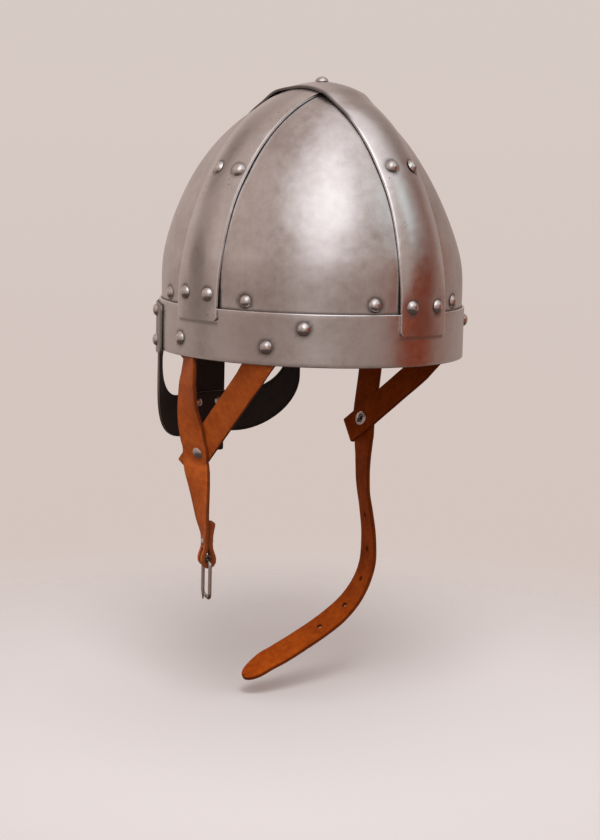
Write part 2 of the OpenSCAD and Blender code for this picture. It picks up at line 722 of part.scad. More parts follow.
// Local frame of the buckle's bar: X outwards, Y along the bar, Z up
module at_bar() {
    translate(bar_mid) rotate([0, 0, -chape_turn]) children();
}

// Right front strap: a long tail that has set in a forward and inward curl.
// Each point is [depth below the yoke rivet, distance inwards], chosen along the curl.
// The tail is turned by tail_set from straight across, and more where it leaves the yoke.
tail_set = 17.3;
tail_twist = 13;
function tail_turn(h) = tail_set + tail_twist * (1 - smooth((h - 45) / 66));
function tail_across(h) = [sin(tail_turn(h)), cos(tail_turn(h)), 0];
tail_heading = [cos(tail_set), -sin(tail_set), 0];
tail_route = [[16, 0], [40, -0.2], [55, -1.1], [70, -3.9], [95, -7], [112, -6.2], [126, -1.5], [140, 8],
    [150, 19], [158, 31], [168, 49], [177, 67]];
tail_leaf = [[181, 76, 12.5], [186, 84, 9.5], [190, 91, 3.5]];
tail_punches = [73.5, 99, 122, 141, 155];
function tail_point(q) = yoke(-1) + layer * outward(-1) + down * q[0] + tail_heading * q[1];
// Outward direction of the tail at depth h, where its route runs from a to b
function tail_out(a, b, h) = unit(cross(tail_across(h), tail_point(b) - tail_point(a)));
module strap_front_right() {
    k = -1;
    route = concat(tail_route, tail_leaf);
    stations = concat(
        strap_down(k, front_flex(k), layer, yoke_flat, strap_width),
        [for (i = [0:len(route) - 1])
            let (h = route[i][0], a = route[max(0, i - 1)], b = route[min(len(route) - 1, i + 1)])
            station(tail_point(route[i]), tail_across(h), tail_out(a, b, h),
                i < len(tail_route) ? strap_width / 2 : strap_width / 2 * route[i][2] / 13)]);
    color(leather) difference() {
        ribbon(stations, -k);
        yoke_hole(k);
        for (h = tail_punches) tail_punch(h);
    }
}
// Distance inwards of the tail's route at a depth, between its chosen points
function tail_in(h) = lookup(h, tail_route);
module tail_punch(h) {
    e = 2;
    n = tail_out([h - e, tail_in(h - e)], [h + e, tail_in(h + e)], h);
    at(tail_point([h, tail_in(h)]) - 2 * strap_thick * n, n) cylinder(r = punch_r, h = 4 * strap_thick);
}

// Tubular rivets where two straps of a side meet
yoke_grip = 2 * strap_thick + lap;
yoke_head_r = 4.7;
yoke_head_h = 1.5;
yoke_shank_r = 2.4;
yoke_washer_h = 0.7;
module yoke_hole(k) {
    at(yoke(k), outward(k)) cylinder(r = yoke_shank_r + rivet_fit, h = 30, center = true);
}
module yoke_rivet(k) {
    half = yoke_grip / 2 + head_lift;
    roll = 0.7;
    color(steel) at(yoke(k), outward(k)) rotate_extrude() difference() {
        union() {
            translate([0, half]) intersection() {
                dome = (pow(yoke_head_r, 2) + pow(yoke_head_h, 2)) / (2 * yoke_head_h);
                translate([0, yoke_head_h - dome]) circle(dome, $fn = 64);
                square([yoke_head_r, yoke_head_h]);
            }
            translate([0, -half - yoke_washer_h - roll])
                square([yoke_shank_r, 2 * half + yoke_washer_h + roll + yoke_head_h / 2]);
            translate([0, -half - yoke_washer_h]) square([yoke_washer_r, yoke_washer_h]);
            translate([yoke_shank_r, -half - yoke_washer_h]) circle(roll, $fn = 32);
        }
        translate([0, -half - yoke_washer_h - 2 * roll]) square([yoke_bore_r, yoke_grip]);
    }
}
module yoke_rivet_left() { yoke_rivet(1); }
module yoke_rivet_right() { yoke_rivet(-1); }

loop_shank_r = 1.2;
module loop_rivet() {
    half = yoke_grip / 2 + head_lift;
    color(steel) translate(-down * loop_rivet_up) at(bar_mid + bar_out * half, bar_out)
        rivet(2 * half, radius = 2.6, height = 1.3, shank = loop_shank_r, tail = 2.2);
}

// Buckle: a closed wire frame that hangs from its bar, and a prong that turns on the bar
module buckle_frame() {
    run = buckle_length - 2 * buckle_corner;
    half = buckle_width / 2;
    color(steel) at_bar() {
        for (z = [0, -buckle_length]) translate([0, 0, z]) rotate([90, 0, 0])
            cylinder(r = wire_r, h = buckle_width - 2 * buckle_corner, center = true);
        for (y = [-half, half]) translate([0, y, -buckle_corner - run])
            cylinder(r = wire_r, h = run);
        for (m = [0, 1]) mirror([0, m, 0]) {
            translate([0, half - buckle_corner, -buckle_corner]) rotate([90, 0, 90])
                rotate_extrude(angle = 90) translate([buckle_corner, 0]) circle(wire_r);
            translate([0, half - buckle_corner, -buckle_corner - run]) rotate([90, 90, 90])
                rotate_extrude(angle = 90) rotate(180) translate([-buckle_corner, 0]) circle(wire_r);
        }
    }
}
prong_fit = 0.08;
prong_ring = wire_r + prong_fit + prong_r;
prong_over = 2;
module buckle_prong() {
    reach = buckle_length + prong_over;
    color(steel) at_bar() {
        rotate([90, 0, 0]) rotate_extrude() translate([prong_ring, 0]) circle(prong_r);
        translate([prong_ring, 0, -reach]) cylinder(r = prong_r, h = reach);
        translate([prong_ring, 0, -reach]) sphere(prong_r);
    }
}

// Lining
module liner_band() {
    color(dark_leather) difference() {
        oval_ring(liner_foot, liner_foot + liner_width, liner_in, liner_out);
        holes_at(low_places, band_out, grip_band_liner + 1);
        holes_at(plate_places, 0, grip_plate_liner + 1);
    }
}
tongue_count = 8;
tongue_gap = 0.4;
tongue_rows = 7;
tongue_cols = 4;
hem_mid = hem_bore + liner_thick / 2;
lace_plane = [0, lean(lace_height), lace_height];
// A tongue follows the skull from inside the headband and ends in a hem folded round the lace.
// Its section at plan angle a, as [distance outwards, height] about the lace's middle
function tongue_foot(a) = skull(a, liner_foot + liner_width - tongue_lap)
    + (liner_in - tongue_gap - liner_thick / 2) * [sin(a), -cos(a), 0] - lace_plane;
function tongue_arc(a, u) = let (foot = tongue_foot(a), far = norm([foot[0], foot[1]]))
    [lace_ring_r + (far - lace_ring_r) * cos(90 * u), hem_mid + (foot[2] - hem_mid) * (1 - sin(90 * u))];
function tongue_hem(b) = [lace_ring_r + hem_mid * cos(b), hem_mid * sin(b)];
// Outward normals of the same section
function tongue_arc_out(a, u) = let (e = 0.02, d = unit(tongue_arc(a, u + e) - tongue_arc(a, u - e)))
    [d[1], -d[0]];
hem_turns = [60:-30:-150];
function tongue_half_angle(u) = atan((tongue_width * (1 - u) + tongue_tip * u) / 2
    / (brow_half_width * (1 - u) + lace_ring_r * u));
function spread(a, q) = lace_plane + [q[0] * sin(a), -q[0] * cos(a), q[1]];
function tongue_grid(middle, off) = concat(
    [for (j = [0:tongue_rows]) let (u = j / tongue_rows) [for (i = [0:tongue_cols])
        let (a = middle - tongue_half_angle(u) * (2 * i / tongue_cols - 1))
        spread(a, tongue_arc(a, u) + off * tongue_arc_out(a, u))]],
    [for (b = hem_turns) [for (i = [0:tongue_cols])
        let (a = middle - tongue_half_angle(1) * (2 * i / tongue_cols - 1))
        spread(a, tongue_hem(b) + off * [cos(b), sin(b)])]]);
module liner_tongues(first) {
    color(dark_leather) for (i = [first:first + tongue_count / 2 - 1])
        let (middle = 360 * (i + 0.5) / tongue_count)
        sheet_between(tongue_grid(middle, liner_thick / 2), tongue_grid(middle, -liner_thick / 2));
}
module liner_tongues_left() { liner_tongues(0); }
module liner_tongues_right() { liner_tongues(tongue_count / 2); }
lace_end = 6;
module liner_lace() {
    color(leather) translate([0, lean(lace_height), lace_height]) {
        rotate_extrude($fn = 96) translate([lace_ring_r, 0]) circle(lace_r);
        translate([0, -lace_ring_r, 0]) sphere(2.2 * lace_r);
        for (m = [-1, 1]) translate([0, -lace_ring_r, 0]) rotate([0, 180 + 25 * m, 0])
            cylinder(r = lace_r, h = lace_end);
    }
}
module washer(bore = shank_r + rivet_fit) {
    difference() {
        translate([0, 0, -washer_h]) cylinder(r = washer_r, h = washer_h);
        translate([0, 0, -2 * washer_h]) cylinder(r = bore, h = 3 * washer_h);
    }
}
module liner_washers() {
    color(steel) {
        at_places(low_places, liner_in - washer_fit) washer();
        at_places(plate_places, liner_in - washer_fit - tuck(plate_row)) washer();
        at_places(strap_places, tab_in - tail_fit) washer();
    }
}

brow_band();
plate_front_left();
plate_front_right();
plate_back_left();
plate_back_right();
long_band();
cross_band();
apex_rivet();
band_rivets_upper();
band_rivets_lower();
plate_rivets();
brow_rivets();
face_guard();
face_guard_rivets();
nasal_bar();
nasal_rivets();
strap_tabs();
strap_rivets();
strap_front_left();
strap_rear_left();
strap_front_right();
strap_rear_right();
yoke_rivet_left();
yoke_rivet_right();
loop_rivet();
buckle_frame();
buckle_prong();
liner_band();
liner_tongues_left();
liner_tongues_right();
liner_lace();
liner_washers();
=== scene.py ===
# %% [markdown]
# A riveted helmet, dressed for its picture. The steel and leather pieces come in as a fixed frame of
# plain solids at their real size. This lesson gives each of them its finish, and rebuilds those whose
# surface a plain solid can't show: hand-raised sheet, domed rivets, and straps that bend. The sizes are
# written in millimetres, and become Blender's metres when a mesh is made.

# %% Load the frame
import math
from functools import partialmethod
import bpy
import bmesh
import numpy as np
from mathutils import Matrix, Vector, noise
from mathutils.geometry import delaunay_2d_cdt


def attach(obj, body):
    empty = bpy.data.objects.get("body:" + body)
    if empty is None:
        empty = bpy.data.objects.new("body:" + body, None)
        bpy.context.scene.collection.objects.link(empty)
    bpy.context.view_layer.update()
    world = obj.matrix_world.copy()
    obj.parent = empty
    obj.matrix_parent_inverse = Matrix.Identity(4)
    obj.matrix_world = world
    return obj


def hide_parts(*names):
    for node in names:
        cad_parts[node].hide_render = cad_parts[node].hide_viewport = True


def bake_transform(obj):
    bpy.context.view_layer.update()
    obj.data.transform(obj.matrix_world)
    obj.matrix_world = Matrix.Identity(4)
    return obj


METRE = 1000
MM = 1 / METRE
NOISE_SEED = 1
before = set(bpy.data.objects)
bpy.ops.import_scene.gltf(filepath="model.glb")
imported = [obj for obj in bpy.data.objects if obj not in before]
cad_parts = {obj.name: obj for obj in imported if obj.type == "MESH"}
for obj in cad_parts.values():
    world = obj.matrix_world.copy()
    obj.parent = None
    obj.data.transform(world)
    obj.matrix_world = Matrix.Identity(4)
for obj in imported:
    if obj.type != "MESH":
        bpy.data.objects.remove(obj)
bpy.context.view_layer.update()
scene = bpy.context.scene
noise.seed_set(NOISE_SEED)

# %% [markdown]
# The camera comes first, because every later choice is judged through it. It stands behind the
# wearer's left shoulder, a little above the rim, and is turned by about a degree, as a hand-held
# camera is. It is placed by its azimuth, its distance and the small shifts that centre the picture.

# %% Camera
AZIMUTH, ELEVATION, ROLL = 138.07, 8.334, 1.366
DISTANCE, SIDE_SHIFT, HEIGHT_SHIFT = 1.38106, -0.00668, -0.0494
LENS, NEAREST, FURTHEST = 83.92, 0.05, 40


def direction(azimuth, elevation):
    """Unit vector towards an azimuth, 0 at the face and 90 at the wearer's left, and an elevation."""
    a, e = math.radians(azimuth), math.radians(elevation)
    return Vector((math.sin(a) * math.cos(e), -math.cos(a) * math.cos(e), math.sin(e)))


def add_camera():
    back, turn, roll = direction(AZIMUTH, ELEVATION), math.radians(AZIMUTH), math.radians(ROLL)
    level = Vector((math.cos(turn), math.sin(turn), 0))
    upright = back.cross(level)
    right = math.cos(roll) * level + math.sin(roll) * upright
    up = math.cos(roll) * upright - math.sin(roll) * level
    data = bpy.data.cameras.new("camera")
    data.lens = LENS
    data.clip_start, data.clip_end = NEAREST, FURTHEST
    camera = bpy.data.objects.new("camera", data)
    scene.collection.objects.link(camera)
    camera.rotation_mode = "QUATERNION"
    camera.rotation_quaternion = Matrix((right, up, back)).transposed().to_quaternion()
    camera.location = back * DISTANCE + right * SIDE_SHIFT + up * HEIGHT_SHIFT
    scene.camera = camera
    return camera


camera = add_camera()
print("camera at", [round(v, 3) for v in camera.location])

# %% [markdown]
# Steel and leather get their colour, gloss and small dents from node trees. Written out node by node,
# such a tree is hard to read. So one small class wraps a socket and lets us write plain sums: an
# expression such as 1 - mask adds its Math node by itself. Any other node comes from one method.

# %% Sums on sockets
class Wire:
    """A socket of a node tree. Sums on it add Math nodes, and node() adds any other node."""

    def __init__(self, tree, socket=None):
        self.tree = tree
        self.socket = socket

    def node(self, kind, settings=None, out=0, **inputs):
        """Adds a node. Its inputs go by their labels, or by their numbers as at0, at1 and so on."""
        made = self.tree.nodes.new(kind)
        for name, value in (settings or {}).items():
            setattr(made, name, value)
        for name, value in inputs.items():
            key = int(name[2:]) if name.startswith("at") and name[2:].isdigit() else name.replace("_", " ")
            self.feed(made.inputs[key], value)
        return Wire(self.tree, made.outputs[out])

    def feed(self, target, value):
        if isinstance(value, Wire):
            self.tree.links.new(value.socket, target)
        else:
            target.default_value = value

    def sum(self, operation, *others):
        values = {f"at{i}": v for i, v in enumerate((self, *others))}
        return self.node("ShaderNodeMath", {"operation": operation}, **values)

    def taken_from(self, other):
        return self.node("ShaderNodeMath", {"operation": "SUBTRACT"}, at0=other, at1=self)

    __add__ = __radd__ = partialmethod(sum, "ADD")
    __sub__ = partialmethod(sum, "SUBTRACT")
    __rsub__ = taken_from
    __mul__ = __rmul__ = partialmethod(sum, "MULTIPLY")
    __truediv__ = partialmethod(sum, "DIVIDE")
    __pow__ = partialmethod(sum, "POWER")
    __abs__ = partialmethod(sum, "ABSOLUTE")
    least = partialmethod(sum, "MINIMUM")
    most = partialmethod(sum, "MAXIMUM")

    def step(self, low, high):
        """0 below low, 1 above high, smooth between; low may be the larger."""
        return self.node("ShaderNodeMapRange", {"interpolation_type": "SMOOTHSTEP"}, at0=self, at1=low,
                         at2=high, at3=0.0, at4=1.0)

    def parts(self):
        split = self.node("ShaderNodeSeparateXYZ", at0=self).socket.node
        return [Wire(self.tree, out) for out in split.outputs]

    def stretched(self, x, y, z):
        return self.node("ShaderNodeVectorMath", {"operation": "MULTIPLY"}, at0=self, at1=(x, y, z))

    def cloud(self, scale, detail=3.0, rough=0.5):
        """Soft noise between 0 and 1 over this position."""
        return self.node("ShaderNodeTexNoise", Vector=self, Scale=scale, Detail=detail, Roughness=rough)

    def between(self, low, high):
        """The colour low where this is 0, and high where it is 1."""
        values = [v if isinstance(v, Wire) else (*v, 1.0) for v in (low, high)]
        return self.node("ShaderNodeMix", {"data_type": "RGBA"}, out=2, at0=self, at6=values[0],
                         at7=values[1])

    def noted(self, label):
        """A number that the mesh keeps at each of its points."""
        return self.node("ShaderNodeAttribute", {"attribute_name": label}, out=2)

    def bumps(self, distance, onto=None):
        more = {} if onto is None else {"Normal": onto}
        return self.node("ShaderNodeBump", Height=self, Distance=distance, Strength=1.0, **more)


def new_material(name):
    """An empty finish: its root wire, its main shader's inputs, and the position in millimetres."""
    material = bpy.data.materials.new(name)
    material.use_nodes = True
    tree = material.node_tree
    shader = tree.nodes["Principled BSDF"]
    wire = Wire(tree)
    place = wire.node("ShaderNodeTexCoord", out=3).stretched(METRE, METRE, METRE)
    return material, wire, shader.inputs, place


print("a wire knows", len([n for n in dir(Wire) if not n.startswith("_")]), "calls of its own")

# %% [markdown]
# The skull is raised steel sheet, so its plates aren't a true ball. They follow a rule all the same:
# an oval plan that closes in along a rounded curve up to the peak, and leans a little to the back.
# The same rule places the plates, the bands and every rivet, so it is written once, in millimetres.

# %% The skull's shape
HALF_LENGTH, HALF_WIDTH = 112.0, 102.5
BROW_HEIGHT, SHEET = 35.0, 1.6
PEAK, SPRING, POWER, LEAN = 182.8, 34.0, 1.8, 6.0
FIT, SWELL = 0.1, 36.0
PLATE_OUT = -(SHEET + FIT)
PLATE_IN = PLATE_OUT - SHEET
UP = np.array([0, 0, 1.0])


def step(x, low, high):
    """0 at low, 1 at high and smooth between; low may be the larger."""
    x = np.clip((x - low) / (high - low), 0, 1)
    return x * x * (3 - 2 * x)


def rise(z):
    """Share of the way from where the sides start to close in up to the peak."""
    return np.clip((z - SPRING) / (PEAK - SPRING), 0, 1)


def shrink(z):
    """How much of the plan is left at a height."""
    return (1 - rise(z) ** 2) ** (1 / POWER)


def lean(z):
    return LEAN * rise(z) ** 5


def curve_height(angle):
    """Heights for even steps along the rounded curve."""
    return SPRING + (PEAK - SPRING) * np.sin(np.radians(angle))


def skull(angle, z):
    """Point at a plan angle (0 at the face, 90 at the wearer's left) and a height."""
    a, z = np.broadcast_arrays(np.radians(angle), np.asarray(z, float))
    x, y = HALF_WIDTH * shrink(z) * np.sin(a), lean(z) - HALF_LENGTH * shrink(z) * np.cos(a)
    return np.stack([x, y, z], -1)


def slope(p):
    """Gradient of the rule at points on the skull. It is square to the surface."""
    x, y, z = np.moveaxis(p, -1, 0)
    u, span = rise(z), PEAK - SPRING
    left = np.maximum(1 - u * u, 1e-6)
    across = 2 * (y - lean(z)) / HALF_LENGTH ** 2
    up = 4 * u / (POWER * span) * left ** (2 / POWER - 1) - across * 5 * LEAN * u ** 4 / span
    return np.stack([2 * x / HALF_WIDTH ** 2, across, np.where(z <= SPRING, 0, up)], -1)


def unit(v):
    v = np.asarray(v, float)
    return v / np.maximum(np.linalg.norm(v, axis=-1, keepdims=True), 1e-12)


def normal_at(p):
    return unit(slope(p))


def dot(a, b):
    return np.sum(a * b, axis=-1, keepdims=True)


def drop_on(p, way):
    """Slides points along a direction until they lie on the skull."""
    for _ in range(8):
        x, y, z = np.moveaxis(p, -1, 0)
        miss = (x / HALF_WIDTH) ** 2 + ((y - lean(z)) / HALF_LENGTH) ** 2 - shrink(z) ** 2
        p = p - way * miss[..., None] / dot(slope(p), way)
    return p


def tuck(z):
    """How far the plates are drawn in behind the brow band."""
    return PLATE_OUT * (1 - step(z, BROW_HEIGHT, BROW_HEIGHT + SWELL))


print("the peak stands", round(PEAK), "mm above the rim")

# %% [markdown]
# Places on a band are given by its side, a height and a distance from its middle. The bands narrow a
# little towards the peak and are crowned across, and handwork left one quarter flatter than the rest.

# %% Places on the bands
LAP, BAND_HALF, CROWN = 0.15, 20.0, 3.3
LONG_FOOT, CROSS_FOOT, CROSS_BOW = 20.5, 26.5, 2.0
TAPER, TAPER_LOW, TAPER_HIGH = 1.8, 60.0, 115.0
FLATTER, FLATTER_AT, FLATTER_WIDE = 4.9, 230.0, 32.0
FLATTER_FROM, FLATTER_TO = (50, 125), (162, 186)


def is_cross(side):
    """Sides are named by their plan angle: 0 front, 90 left, 180 back and 270 right."""
    return side % 180 != 0


def bow(side, z):
    """How far the cross band's middle bows to the back between its foot and the peak."""
    return CROSS_BOW * 4 * rise(z) ** 2 * (1 - rise(z) ** 2) if is_cross(side) else 0 * z


def settled(points):
    """The right back quarter of the skull came out flatter than the others, as handwork does."""
    x, y, z = np.moveaxis(points, -1, 0)
    turn = (np.degrees(np.arctan2(x, -y)) - FLATTER_AT + 180) % 360 - 180
    share = np.exp(-(turn / FLATTER_WIDE) ** 2) * step(z, *FLATTER_FROM) * (1 - step(z, *FLATTER_TO))
    return points - unit(np.stack([x, y, 0 * z], -1)) * (FLATTER * share)[..., None]


def across_band(side):
    return np.array([0, 1.0, 0]) if is_cross(side) else np.array([1.0, 0, 0])


def on_band(side, z, s):
    """Point of a band's middle surface at a height, s millimetres from its middle."""
    z, s = np.broadcast_arrays(np.asarray(z, float), np.asarray(s, float))
    middle = skull(side, z)
    return drop_on(middle + (s + bow(side, z))[..., None] * across_band(side), normal_at(middle))


def from_peak(side, z):
    """Level distance of a band's middle from the peak."""
    return (HALF_WIDTH if is_cross(side) else HALF_LENGTH) * shrink(z)


def band_foot(side):
    return CROSS_FOOT if is_cross(side) else LONG_FOOT


def grown_crown(side, z):
    """Height of the band's crown: none at the foot and under the crossing, full between."""
    foot, start = band_foot(side), 50 if side == 0 else 26
    return CROWN * step(z, foot + 8, foot + 53) * step(from_peak(side, z), start, start + 40)


def crown(side, z, s):
    return grown_crown(side, z) * (1 - (s / BAND_HALF) ** 2)


def seat(side, z, s):
    """A rivet's place on a band and its direction, lifted and tilted with the crown."""
    p = on_band(side, z, s)
    out = normal_at(p)
    tilt = 2 * grown_crown(side, z) * s / BAND_HALF ** 2
    return p + out * crown(side, z, s), unit(out + across_band(side) * tilt)


print("the bands are", 2 * BAND_HALF, "mm wide at their feet")

# %% [markdown]
# A sheet of metal is two faces a hand's breadth wide and a millimetre and a half apart, joined round
# the edge. We build it as two grids of points and a strip between their borders, then round the edge
# with a bevel, because the thin bright line along a worn edge comes from that rounding.

# %% Making meshes
def new_object(name, points, faces):
    """A mesh object from points in millimetres."""
    mesh = bpy.data.meshes.new(name)
    vertices = [tuple(v) for v in np.asarray(points, float) * MM]
    mesh.from_pydata(vertices, [], [list(map(int, f)) for f in faces])
    piece = bpy.data.objects.new(name, mesh)
    scene.collection.objects.link(piece)
    return piece


def grid_faces(rows, cols, start=0, flip=False, wrap_rows=False, wrap_cols=False):
    """Four-sided faces over a grid of points, which may close on itself either way."""
    j, i = np.meshgrid(np.arange(rows if wrap_rows else rows - 1),
                       np.arange(cols if wrap_cols else cols - 1), indexing="ij")
    k, n = (j + 1) % rows, (i + 1) % cols
    quads = np.stack([j * cols + i, j * cols + n, k * cols + n, k * cols + i], -1).reshape(-1, 4) + start
    return quads[:, ::-1] if flip else quads


def sheet_faces(rows, cols):
    """Faces of a closed sheet: an outer grid, an inner grid, and the strips that join their borders."""
    count = rows * cols
    outer, inner = grid_faces(rows, cols), grid_faces(rows, cols, count, flip=True)
    rim = np.concatenate([np.arange(cols), np.arange(1, rows) * cols + cols - 1,
                          (rows - 1) * cols + np.arange(cols - 2, -1, -1), np.arange(rows - 2, 0, -1) * cols])
    after = np.roll(rim, -1)
    strip = np.stack([after, rim, rim + count, after + count], -1)
    return np.concatenate([outer, inner, strip])


def apply_modifiers(piece):
    """Bakes the modifiers into the mesh."""
    graph = bpy.context.evaluated_depsgraph_get()
    graph.update()
    made = piece.evaluated_get(graph)
    mesh = bpy.data.meshes.new_from_object(made, preserve_all_data_layers=True, depsgraph=graph)
    piece.modifiers.clear()
    old, piece.data = piece.data, mesh
    bpy.data.meshes.remove(old)
    return piece


def turn_out(piece):
    """Makes all faces of a closed mesh point outwards."""
    work = bmesh.new()
    work.from_mesh(piece.data)
    bmesh.ops.recalc_face_normals(work, faces=work.faces)
    work.to_mesh(piece.data)
    work.free()


def round_edges(piece, width, segments):
    bevel = piece.modifiers.new("edge", "BEVEL")
    bevel.width, bevel.segments = width * MM, segments
    bevel.limit_method, bevel.angle_limit = "ANGLE", math.radians(60)
    bevel.use_clamp_overlap = True
    return apply_modifiers(piece)


def shade(piece, crease=60):
    """Smooth shading, but sharp where two faces meet at more than crease degrees."""
    mesh = piece.data
    mesh.polygons.foreach_set("use_smooth", [True] * len(mesh.polygons))
    work = bmesh.new()
    work.from_mesh(mesh)
    for edge in work.edges:
        edge.smooth = edge.is_manifold and edge.calc_face_angle(0) < math.radians(crease)
    work.to_mesh(mesh)
    work.free()


def finish_piece(piece, material, body, replaced=(), crease=60):
    """Shades a piece, gives it its finish, ties it to its body and hides the solids that it replaces."""
    shade(piece, crease)
    piece.data.materials.clear()
    piece.data.materials.append(material)
    if body:
        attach(piece, body)
    if replaced:
        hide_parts(*replaced)
    return piece


def wavy(points, ways, size, height, seed):
    """Moves points along their directions by soft noise, as hammer and stake leave them."""
    start = Vector((seed, 0, 0))
    shift = np.array([noise.noise(Vector(p / size) + start) for p in points.reshape(-1, 3)])
    return points + ways * (height * shift).reshape(points.shape[:-1])[..., None]


def points_of(piece):
    return np.array([v.co for v in piece.data.vertices]) * METRE


def note(piece, label, values):
    """Keeps a number at each point of a mesh, which its finish reads."""
    kept = piece.data.attributes.new(label, "FLOAT", "POINT").data
    kept.foreach_set("value", np.asarray(values, np.float32))


print("sheets can be made, rounded and shaded")

# %% [markdown]
# Where a rivet is set, the hammer pulls the sheet in around it. That shallow dish is what makes the
# reflections swirl round every head, so the places of all rivets are worked out before the sheets.

# %% Rivet places
SEAM_FIT, TAIL_FIT, WASHER_FIT, WASHER_H, HEAD_LIFT = 0.2, 0.35, 0.55, 0.8, 0.12
STRAP_THICK, LINER_THICK, GUARD_SHEET, NASAL_SHEET = 3.0, 2.0, 1.8, 2.0
BAND_OUT, GUARD_OUT = LAP + SHEET, LAP + GUARD_SHEET
NASAL_IN = GUARD_OUT + LAP
NASAL_OUT = NASAL_IN + NASAL_SHEET
TAB_IN = PLATE_IN - SEAM_FIT - STRAP_THICK
LINER_OUT = PLATE_IN - SEAM_FIT
LINER_IN = LINER_OUT - LINER_THICK
GRIP_BAND = BAND_OUT + HEAD_LIFT + SHEET + TAIL_FIT
GRIP_LINER = -LINER_IN + WASHER_FIT + WASHER_H + HEAD_LIFT
GRIP_BROW = HEAD_LIFT - PLATE_IN + TAIL_FIT
GRIP_STRAP = HEAD_LIFT - TAB_IN + TAIL_FIT + WASHER_H + HEAD_LIFT
SIDES = (0, 90, 180, 270)
FOOT_PAIR, MID_PAIR, MID_SHIFT = 22.6, 17.6, {0: 2.4, 90: 3.2, 180: 0.0, 270: 3.2}
LONG_ROW, CROSS_ROW, LONG_MID, CROSS_MID = 39.5, 44.0, 39.7, 37.7
PLATE_ROW, PLATE_TURN = 41.0, 21.0
PANEL_ROW, PANEL_ANGLES = 25.0, (133.0, 225.0)
STRAP_ROW, STRAP_SPOTS = 12.0, ((1, -19.0), (1, 55.5), (-1, -37.0), (-1, 47.0))
GUARD_ANGLE, GUARD_ROWS = 55.5, (6.0, 27.0)
NASAL_ROWS, NASAL_DEPTH, NASAL_SPREAD = (9.0, 27.5), 50.0, 9.0
HEAD_R = 4.6


def with_normals(points):
    return [(p, normal_at(p)) for p in points]


def on_plate(angle, z):
    p = skull(angle, z)
    return p + tuck(z) * normal_at(p)


def plate_place(angle, reach=2.7):
    """A plate rivet stands half way between the swelling plate's direction and the level one."""
    up = on_plate(angle, PLATE_ROW + reach) - on_plate(angle, PLATE_ROW - reach)
    out = unit(np.cross(on_plate(angle + 1, PLATE_ROW) - on_plate(angle - 1, PLATE_ROW), up))
    return on_plate(angle, PLATE_ROW), unit(out + normal_at(skull(angle, 0)))


def tab_place(k, y):
    return skull(k * math.degrees(math.acos(-y / HALF_LENGTH)), STRAP_ROW)


def band_pair(side, z, apart, shift=0.0):
    return [seat(side, z, k * apart / 2 + shift) for k in (-1, 1)]


MID_PLACES, FOOT_PLACES = [], []
for side in SIDES:
    middle = curve_height(CROSS_MID if is_cross(side) else LONG_MID)
    MID_PLACES += band_pair(side, middle, MID_PAIR, MID_SHIFT[side])
    FOOT_PLACES += band_pair(side, CROSS_ROW if is_cross(side) else LONG_ROW, FOOT_PAIR)
PLATE_PLACES = [plate_place(side + k * PLATE_TURN) for side in SIDES for k in (-1, 1)]
PANEL_PLACES = with_normals([skull(a, PANEL_ROW) for a in PANEL_ANGLES])
STRAP_PLACES = with_normals([tab_place(k, y) for k, y in STRAP_SPOTS])
GUARD_PLACES = with_normals([skull(k * GUARD_ANGLE, z) for k in (-1, 1) for z in GUARD_ROWS])
NOSE_PLACES = with_normals([skull(0, z) for z in NASAL_ROWS])
nose_turn = math.degrees(math.asin(NASAL_SPREAD / HALF_WIDTH))
NOSE_LOW_PLACES = with_normals([skull(k * nose_turn, -NASAL_DEPTH) for k in (-1, 1)])
DISHED = [p for p, _ in MID_PLACES + FOOT_PLACES + PLATE_PLACES]
RIVETED = DISHED + [p for p, _ in PANEL_PLACES + STRAP_PLACES + GUARD_PLACES]


def dished(points, ways, centres, depth=0.45, size=6.0):
    """Pulls the sheet in round each rivet."""
    for centre in centres:
        away = np.linalg.norm(points - centre, axis=-1)
        points = points - ways * (depth * np.exp(-(away / size) ** 2))[..., None]
    return points


def close_to(points, places, reach=12):
    return [p for p in places if np.linalg.norm(points - p, axis=-1).min() < reach]


def mark_soil(piece, fade=1.5):
    """Marks the ring round every rivet head, where polish and dirt collect; it is painted dark as dirt and
    shade.
    """
    places = points_of(piece)
    near = np.min([np.linalg.norm(places - centre, axis=1) for centre in RIVETED], axis=0)
    note(piece, "soil", np.exp(-(np.maximum(near - HEAD_R, 0) / fade) ** 2))


print(len(DISHED), "rivets dish the sheets that they hold")

# %% [markdown]
# Raised steel is satin rather than bright: it mirrors what is around it, but softly, with a fine haze
# of scratches that catch the light. Dirt stays in the corners where the bands lie on the plates, and
# shade is painted into those corners, on the crowns of the bands and under their feet. The rims of
# the bands are rubbed bright, and their flanges are painted lighter, as light. So the finish has one
# base tone, a mask of grime and painted shade and a mask of wear and painted light, both worked out
# from the place on the helmet, and three sizes of bump.

# %% Steel
# The worn tone also serves as painted light on the band flanges.
STEEL, STEEL_DEEP, STEEL_WORN_AND_LIT = (0.60, 0.565, 0.55), (0.50, 0.455, 0.435), (0.84, 0.82, 0.81)
# The dark tone of grime, also used for painted shade.
GRIME_AND_SHADE = (0.07, 0.05, 0.042)


